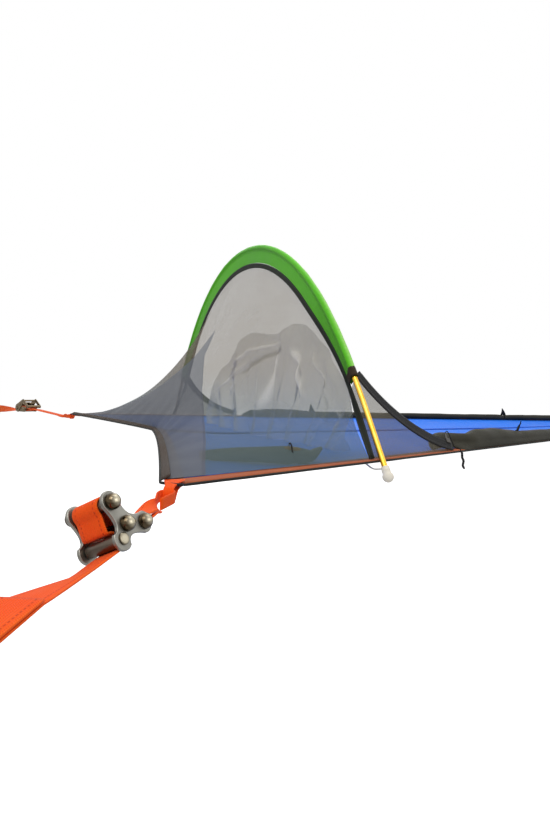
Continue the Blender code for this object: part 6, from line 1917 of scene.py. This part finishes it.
def build_far_straps():
    width = FAR_STRAP_WIDTH
    place = ratchet_matrix()
    across = np.array(place.to_3x3() @ Vector((0.0, 1.0, 0.0)))

    def in_ratchet(points):
        return [(np.array(place @ Vector((x, 0.0, z))), across, width) for x, z in points]

    gap = STRAP_THICKNESS / 2 + CLEARANCE * 1.5
    bolt = (RATCHET_BOLT_X, RATCHET_BOLT_Z)
    loop = loop_round(bolt, RATCHET_BOLT_DIAMETER / 2 + gap, ((0.050, gap), (0.022, gap)), 62.0)
    stations = fuller(hitch_stations(FAR, width))
    band = stations + turned_like(stations, in_ratchet(loop[::-1]))
    webbing("far_short_band", band, STRAP_THICKNESS, ORANGE_WIDE, ["far_short_strap"], "orange_webbing")

    outer = wound_radius_below() + CLEARANCE + STRAP_THICKNESS / 2
    stations = in_ratchet([(x, -outer) for x in (0.004, -0.010, -0.040)])
    level = float(stations[-1][0][2])
    eye_across = facing(across_of(strap_run(FAR)), across)
    tilt = unit(UP * 0.9 + eye_across * 0.44)
    band = stations + eye_stations(FAR, FAR_STRAP_REACH, width, level, tilt)
    webbing("far_tree_band", band, STRAP_THICKNESS, ORANGE_WIDE, ["far_tree_strap"], "orange_webbing")

    wound, nodes = in_ratchet(wound_points()), ["wound_webbing"]
    webbing("wound_band", wound, STRAP_THICKNESS, ORANGE_WIDE, nodes, "orange_webbing", "spool", parts=2)


def build_foot_strap():
    stations = fuller(hitch_stations(0, NEAR_STRAP_WIDTH))
    stations += eye_stations(0, FOOT_STRAP_REACH, NEAR_STRAP_WIDTH, 0.0, -across_of(strap_run(0)))
    webbing("foot_band", stations, STRAP_THICKNESS, ORANGE, ["foot_strap"], "orange_webbing")


# Webbing lock: turned bolts and rollers


def in_lock(name):
    """A frame on a lobe's bolt line, its third axis across the plates."""
    y, z = (0.0, 0.0) if name == "middle" else lobe_centre(name)
    turn = Matrix(((0.0, 0.0, 1.0), (1.0, 0.0, 0.0), (0.0, 1.0, 0.0))).to_4x4()
    return TENT_LOCK @ Matrix.Translation((0.0, y, z)) @ turn


def build_lock_rollers():
    radius = LOCK_ROLLER_DIAMETER / 2
    half = LOCK_INSIDE_WIDTH / 2 - 0.0008
    bore = LOCK_BOLT_DIAMETER / 2 + 0.00035
    corner = [(radius - 0.0009, half), (radius - 0.0003, half - 0.0003), (radius, half - 0.0009)]
    profile = [(bore, -half), *[(out, -height) for out, height in corner], *corner[::-1]]
    profile += [(bore, half), (bore, -half)]
    for name in ("top", "tree"):
        place, nodes, body = in_lock(name), [f"lock_roller_{name}"], f"lock_{name}_roller"
        turned(f"turned_roller_{name}", profile, 64, place, ROLLER, nodes, "polished_steel", body)


def build_lock_bolts():
    half = LOCK_INSIDE_WIDTH / 2 + LOCK_PLATE_THICKNESS + CLEARANCE
    cap = LOCK_CAP_DIAMETER / 2
    shank = LOCK_BOLT_DIAMETER / 2
    rise = LOCK_CAP_HEIGHT - LOCK_WASHER_HEIGHT
    dome = [(0.0, half + LOCK_CAP_HEIGHT)]
    for degrees in range(84, -1, -6):
        turn = math.radians(degrees)
        dome.append((cap * math.cos(turn), half + LOCK_WASHER_HEIGHT + math.sin(turn) * rise))
    dome += [(cap, half + 0.0002), (cap - 0.0002, half), (shank, half)]
    head = LOCK_FLAT_HEAD_DIAMETER / 2
    face = half + LOCK_WASHER_HEIGHT
    flat = [(0.0, face), (head * 0.80, face), (head * 0.93, face - 0.0002), (head, face - 0.0005)]
    flat += [(head, half), (shank, half)]
    for name in ("middle", "top", "tree", "tent"):
        top = flat if name == "tree" else dome
        profile = top + [(radius, -height) for radius, height in reversed(top)]
        nodes = [f"lock_bolt_{name}"]
        turned(f"turned_bolt_{name}", profile, 56, in_lock(name), CAP_STEEL, nodes, "polished_steel")


def lock_outline():
    """Three round lobes joined by hollow waists."""
    ends = []
    for name in ("top", "tree", "tent"):
        turn = LOCK_LOBE_DEGREES[name]
        depth = LOCK_WAIST_RADIUS * 0.62
        waist = arc_points((0.0, 0.0), depth, turn + 60.0, turn + 60.0, 1)[0]
        ends.append((arc_points(lobe_centre(name), LOCK_LOBE_RADIUS, turn - 86.0, turn + 86.0, 40), waist))
    outline = []
    for k, (lobe, waist) in enumerate(ends):
        outline += lobe
        first = np.array(lobe[-1])
        last = np.array(ends[(k + 1) % 3][0][0])
        pull = 2 * np.array(waist) - (first + last) / 2
        for t in np.linspace(0, 1, 16)[1:-1]:
            outline.append(tuple(first * (1 - t) ** 2 + 2 * pull * t * (1 - t) + last * t**2))
    return outline


def build_lock_plates():
    """The lock's plates, cut with round edges and bored for their bolts."""
    rim = LOCK_PLATE_RIM
    holes = []
    for y, z in [lobe_centre(name) for name in LOCK_LOBE_DEGREES] + [(0.0, 0.0)]:
        holes.append(arc_points((y, z), LOCK_BOLT_DIAMETER / 2 + CLEARANCE, 0.0, 352.5, 47))
    out = LOCK_INSIDE_WIDTH / 2 + LOCK_PLATE_THICKNESS / 2
    upright = Matrix.Rotation(math.pi / 2, 4, "Z") @ Matrix.Rotation(math.pi / 2, 4, "X")
    for name, side in (("inner", -1), ("outer", 1)):
        curve = bpy.data.curves.new("plate_outline", "CURVE")
        curve.dimensions = "2D"
        curve.fill_mode = "BOTH"
        curve.extrude = LOCK_PLATE_THICKNESS / 2 - rim
        curve.bevel_depth = rim
        curve.bevel_resolution = 3
        curve.offset = -rim
        for outline in [lock_outline(), *holes]:
            spline = curve.splines.new("POLY")
            spline.points.add(len(outline) - 1)
            for point, (y, z) in zip(spline.points, outline):
                point.co = (y, z, 0.0, 1.0)
            spline.use_cyclic_u = True
        shape = in_scene("plate_outline", curve)
        bpy.context.view_layer.update()
        mesh = bpy.data.meshes.new_from_object(shape.evaluated_get(bpy.context.evaluated_depsgraph_get()))
        bpy.data.objects.remove(shape)
        bpy.data.curves.remove(curve)
        aside = Matrix.Translation((side * out, 0.0, 0.0))
        mesh.transform(Matrix.Translation(Vector(OFFSET)) @ TENT_LOCK @ aside @ upright)
        mesh.name = f"cut_plate_{name}"
        mesh.shade_smooth()
        mesh.set_sharp_from_angle(angle=math.radians(35))
        piece(f"cut_plate_{name}", mesh, STEEL, [f"lock_plate_{name}"])


# Pole and its feet


def build_pole():
    near_end = ARCH_POINTS[0] - ARCH_RUNS[0] * POLE_EXTRA
    points = [near_end, *ARCH_POINTS, ARCH_POINTS[-1] + ARCH_RUNS[-1] * POLE_EXTRA]
    last = len(points) - 1
    bounds = [0, round(last / 3), round(2 * last / 3), last]
    for number, (start, end) in enumerate(zip(bounds, bounds[1:]), 1):
        name, nodes, part = f"pole_tube_{number}", [f"pole_section_{number}"], points[start : end + 1]
        tube(name, part, POLE_DIAMETER / 2, GOLD, nodes, "gold_pole", sides=32)


def build_feet():
    socket = POLE_DIAMETER / 2 + CLEARANCE * 1.5
    ball_centre = -(FOOT_LENGTH - FOOT_DIAMETER / 2)
    neck = FOOT_NECK_DIAMETER / 2
    ball = arc_points((0.0, ball_centre), FOOT_DIAMETER / 2, 40.0, -90.0, 22)
    profile = [(socket, -0.0006), (socket + 0.0003, 0.0), (neck - 0.0005, 0.0), (neck, -0.0006)]
    profile += [(neck, -0.0052), (neck + 0.0004, -0.0060), (neck, -0.0068)]  # a small bead round the neck
    profile += [(max(radius, 0.0), height) for radius, height in ball]
    profile += [(0.0, -FOOT_SOCKET_DEPTH), (socket, -FOOT_SOCKET_DEPTH), (socket, -0.0006)]
    for name, index, sign in (("near", 0, -1), ("far", -1, 1)):
        run = Vector(ARCH_RUNS[index] * sign)
        tip = Vector(ARCH_POINTS[index]) + run * POLE_EXTRA
        turn = (-run).to_track_quat("Z", "Y").to_matrix().to_4x4()
        place = Matrix.Translation(tip - run * (FOOT_SOCKET_DEPTH - CLEARANCE)) @ turn
        nodes = [f"pole_foot_{name}"]
        turned(f"turned_foot_{name}", profile, 48, place, IVORY, nodes, "white_plastic")


def build_corner_hems():
    """The dark tape across the blunt ends of the two head corners."""
    first = head_share_at(CORNER_BLUNT)
    for side, name in SIDES:
        start = on_head_hem(first if side == NEAR else 1 - first)
        run = side_run(side) * CORNER_BLUNT
        end = side_point(side, 0.0, -HEM_OUTSIDE, HEM_HEIGHT) + run
        middle = (start + end) / 2 + strap_run(side) * HEM_OUTSIDE * 0.6
        hem(f"corner_hem_{name}", spread(np.array([start, middle, end]), 8))


# The zip's pull

GRIP_FIRST_POINT = 29


def build_pull():
    """The cord and its thick curled grip that hang from the near slider, outside the edge."""
    out = -side_inward(NEAR)
    run = side_run(NEAR)
    half = door_arc(NEAR)[4]
    beyond_slider = DOOR_BINDING_WIDTH / 2 - SLIDER_SLOT_DEPTH + SLIDER_WIDTH + SLIDER_TAB_LENGTH
    tab_end = door_point(NEAR, half - math.radians(SLIDER_START_DEGREES), -beyond_slider)
    start = tab_end + UP * PULL_CORD_DIAMETER
    edge = side_point(NEAR, tab_end[0], 0.0, EDGE_WEBBING_THICKNESS + HEM_DIAMETER)
    knots = [start, start + run * SLIDER_LENGTH * 0.9 + UP * CLEARANCE]
    for beyond, along, height in PULL_CORD_SHARES:
        knots.append(edge + (out * beyond + run * along + UP * height) * PULL_DROP)
    path = [np.array(p) for p in smooth_path(knots, 64)]
    options = {"slot": "black_cord", "body": "near_slider"}
    string = tube("zip_pull_string", path, PULL_CORD_DIAMETER / 2, BLACK_CORD, ["zip_pull_cord"], **options)
    grip_path = path[GRIP_FIRST_POINT:]
    last = len(grip_path) - 1
    radii = []
    for k in range(last + 1):
        share = k / last
        ends = min(1.0, 0.55 + 9 * share) * (1.0 if share < 0.9 else 1 - 3.2 * (share - 0.9))
        radii.append(ends * (1 + 0.10 * math.sin(k * 2.05)))
    options |= {"sides": 16, "radii": radii}
    grip = tube("zip_pull_grip", grip_path, PULL_GRIP_DIAMETER / 2, BLACK_CORD, **options)


# Materials for the pieces whose solid shapes stay, with their edges worn round


def refinish(material, *nodes, soften=0.0):
    """Give a solid piece its surface, and a small worn edge where it is sharp."""
    for node in nodes:
        obj = NODES[node]
        obj.data.materials.clear()
        obj.data.materials.append(material)
        if soften:
            edge = obj.modifiers.new("worn_edge", "BEVEL")
            edge.width = soften
            edge.segments = 2
            edge.limit_method = "ANGLE"
            edge.angle_limit = math.radians(40.0)


def finish_solids():
    refinish(BRONZE, "ratchet_frame", "ratchet_handle", soften=0.0003)
    refinish(BRONZE, "ratchet_spool", "ratchet_bolt", "frame_pawl", "handle_pawl", soften=0.0002)
    refinish(ZIP_METAL, "zip_slider_near", "zip_slider_far", soften=0.0002)
    refinish(ALUMINIUM, "pole_ferrule_1", "pole_ferrule_2")
    refinish(WHITE_CORD, "pole_shock_cord", "foot_tie_near", "foot_tie_far")


# Camera, lights and ground

CAMERA_PLACE = (-0.1325, -1.23605, 0.11337)
CAMERA_YAW = 0.46707
CAMERA_PITCH = 0.04994
CAMERA_ROLL = 0.02687
CAMERA_LENS = 21.407
GROUND_LEVEL = -0.62
GROUND_REACH = 14.0
GROUND_GLOW = 0.75
WORLD_STRENGTH = 0.34
WHITE = (1.0, 1.0, 1.0, 1.0)


def build_camera():
    yaw, pitch, roll = CAMERA_YAW, CAMERA_PITCH, CAMERA_ROLL
    ahead = Vector((math.sin(yaw) * math.cos(pitch), math.cos(yaw) * math.cos(pitch), -math.sin(pitch)))
    right = Vector((math.cos(yaw), -math.sin(yaw), 0.0))
    upward = right.cross(ahead)
    turned_right = right * math.cos(roll) + upward * math.sin(roll)
    turned_up = upward * math.cos(roll) - right * math.sin(roll)
    data = bpy.data.cameras.new("camera")
    data.sensor_fit = "VERTICAL"
    data.sensor_height = 36.0
    data.lens = CAMERA_LENS
    data.clip_start = 0.01
    camera = in_scene("camera", data)
    axes = Matrix((turned_right, turned_up, -ahead)).transposed().to_4x4()
    camera.matrix_world = Matrix.Translation(Vector(CAMERA_PLACE) + Vector(OFFSET)) @ axes
    SCENE.camera = camera


def area_light(name, place, aim, size, power):
    data = bpy.data.lights.new(name, "AREA")
    data.shape = "RECTANGLE"
    data.size, data.size_y = size
    data.energy = power
    light = in_scene(name, data)
    place = Vector(place) + Vector(OFFSET)
    aim = Vector(aim) + Vector(OFFSET)
    light.location = place
    light.rotation_euler = (aim - place).to_track_quat("-Z", "Y").to_euler()


def joined(tree, *links):
    for start, end in links:
        tree.links.new(start, end)


def build_world():
    world = bpy.data.worlds.new("studio")
    SCENE.world = world
    world.use_nodes = True
    tree = world.node_tree
    tree.nodes.clear()
    out = tree.nodes.new("ShaderNodeOutputWorld")
    seen, lit = [tree.nodes.new("ShaderNodeBackground") for _ in range(2)]
    for shader, strength in ((seen, 1.0), (lit, WORLD_STRENGTH)):
        shader.inputs["Color"].default_value = WHITE
        shader.inputs["Strength"].default_value = strength
    path = tree.nodes.new("ShaderNodeLightPath")
    first, second = [tree.nodes.new("ShaderNodeMath") for _ in range(2)]
    first.operation = second.operation = "MAXIMUM"
    mix = tree.nodes.new("ShaderNodeMixShader")
    joined(
        tree,
        (path.outputs["Is Camera Ray"], first.inputs[0]),
        (path.outputs["Is Glossy Ray"], first.inputs[1]),
        (first.outputs[0], second.inputs[0]),
        (path.outputs["Is Transmission Ray"], second.inputs[1]),
        (second.outputs[0], mix.inputs[0]),
        (lit.outputs[0], mix.inputs[1]),
        (seen.outputs[0], mix.inputs[2]),
        (mix.outputs[0], out.inputs["Surface"]),
    )


def build_ground():
    reach = GROUND_REACH
    mesh = bpy.data.meshes.new("studio_floor")
    corners = [(-reach, -reach), (reach, -reach), (reach, reach), (-reach, reach)]
    mesh.from_pydata([(x, y, GROUND_LEVEL) for x, y in corners], [], [(0, 1, 2, 3)])
    ground = in_scene("studio_floor", mesh)
    material = bpy.data.materials.new("studio_floor")
    material.use_nodes = True
    tree = material.node_tree
    shader = tree.nodes["Principled BSDF"]
    shader.inputs["Base Color"].default_value = (0.86, 0.86, 0.86, 1.0)
    shader.inputs["Roughness"].default_value = 0.9
    shader.inputs["Specular IOR Level"].default_value = 0.0
    path = tree.nodes.new("ShaderNodeLightPath")
    glow = tree.nodes.new("ShaderNodeMath")
    glow.operation = "MULTIPLY"
    glow.inputs[1].default_value = GROUND_GLOW
    shader.inputs["Emission Color"].default_value = WHITE
    joined(
        tree,
        (path.outputs["Is Camera Ray"], glow.inputs[0]),
        (glow.outputs[0], shader.inputs["Emission Strength"]),
    )
    mesh.materials.append(material)


# Each light's name, place, aim, size and power
LIGHTS = (
    ("key", (-0.9, -1.9, 2.3), (0.5, -0.1, 0.1), (1.6, 1.6), 40.0),
    ("fill", (2.6, -2.6, 1.5), (0.9, 0.0, 0.1), (2.4, 1.6), 16.0),
    ("rim", (1.6, 2.6, 1.9), (0.6, 0.2, 0.2), (2.4, 1.2), 30.0),
    ("top", (0.9, 0.0, 2.7), (0.9, 0.0, 0.0), (3.2, 1.8), 24.0),
)


build_camera()
build_pull()
build_floor()
build_hood()
build_cheeks()
build_door_tapes()
build_door_cloth()
build_sleeve()
build_arch_tape()
build_ties(*build_rolls())
build_corner_loops()
build_near_straps()
build_far_straps()
build_foot_strap()
build_lock_rollers()
build_lock_bolts()
build_lock_plates()
build_pole()
build_feet()
build_corner_hems()
finish_solids()
build_world()
build_ground()
for light in LIGHTS:
    area_light(*light)

SCENE.view_settings.view_transform = "Standard"
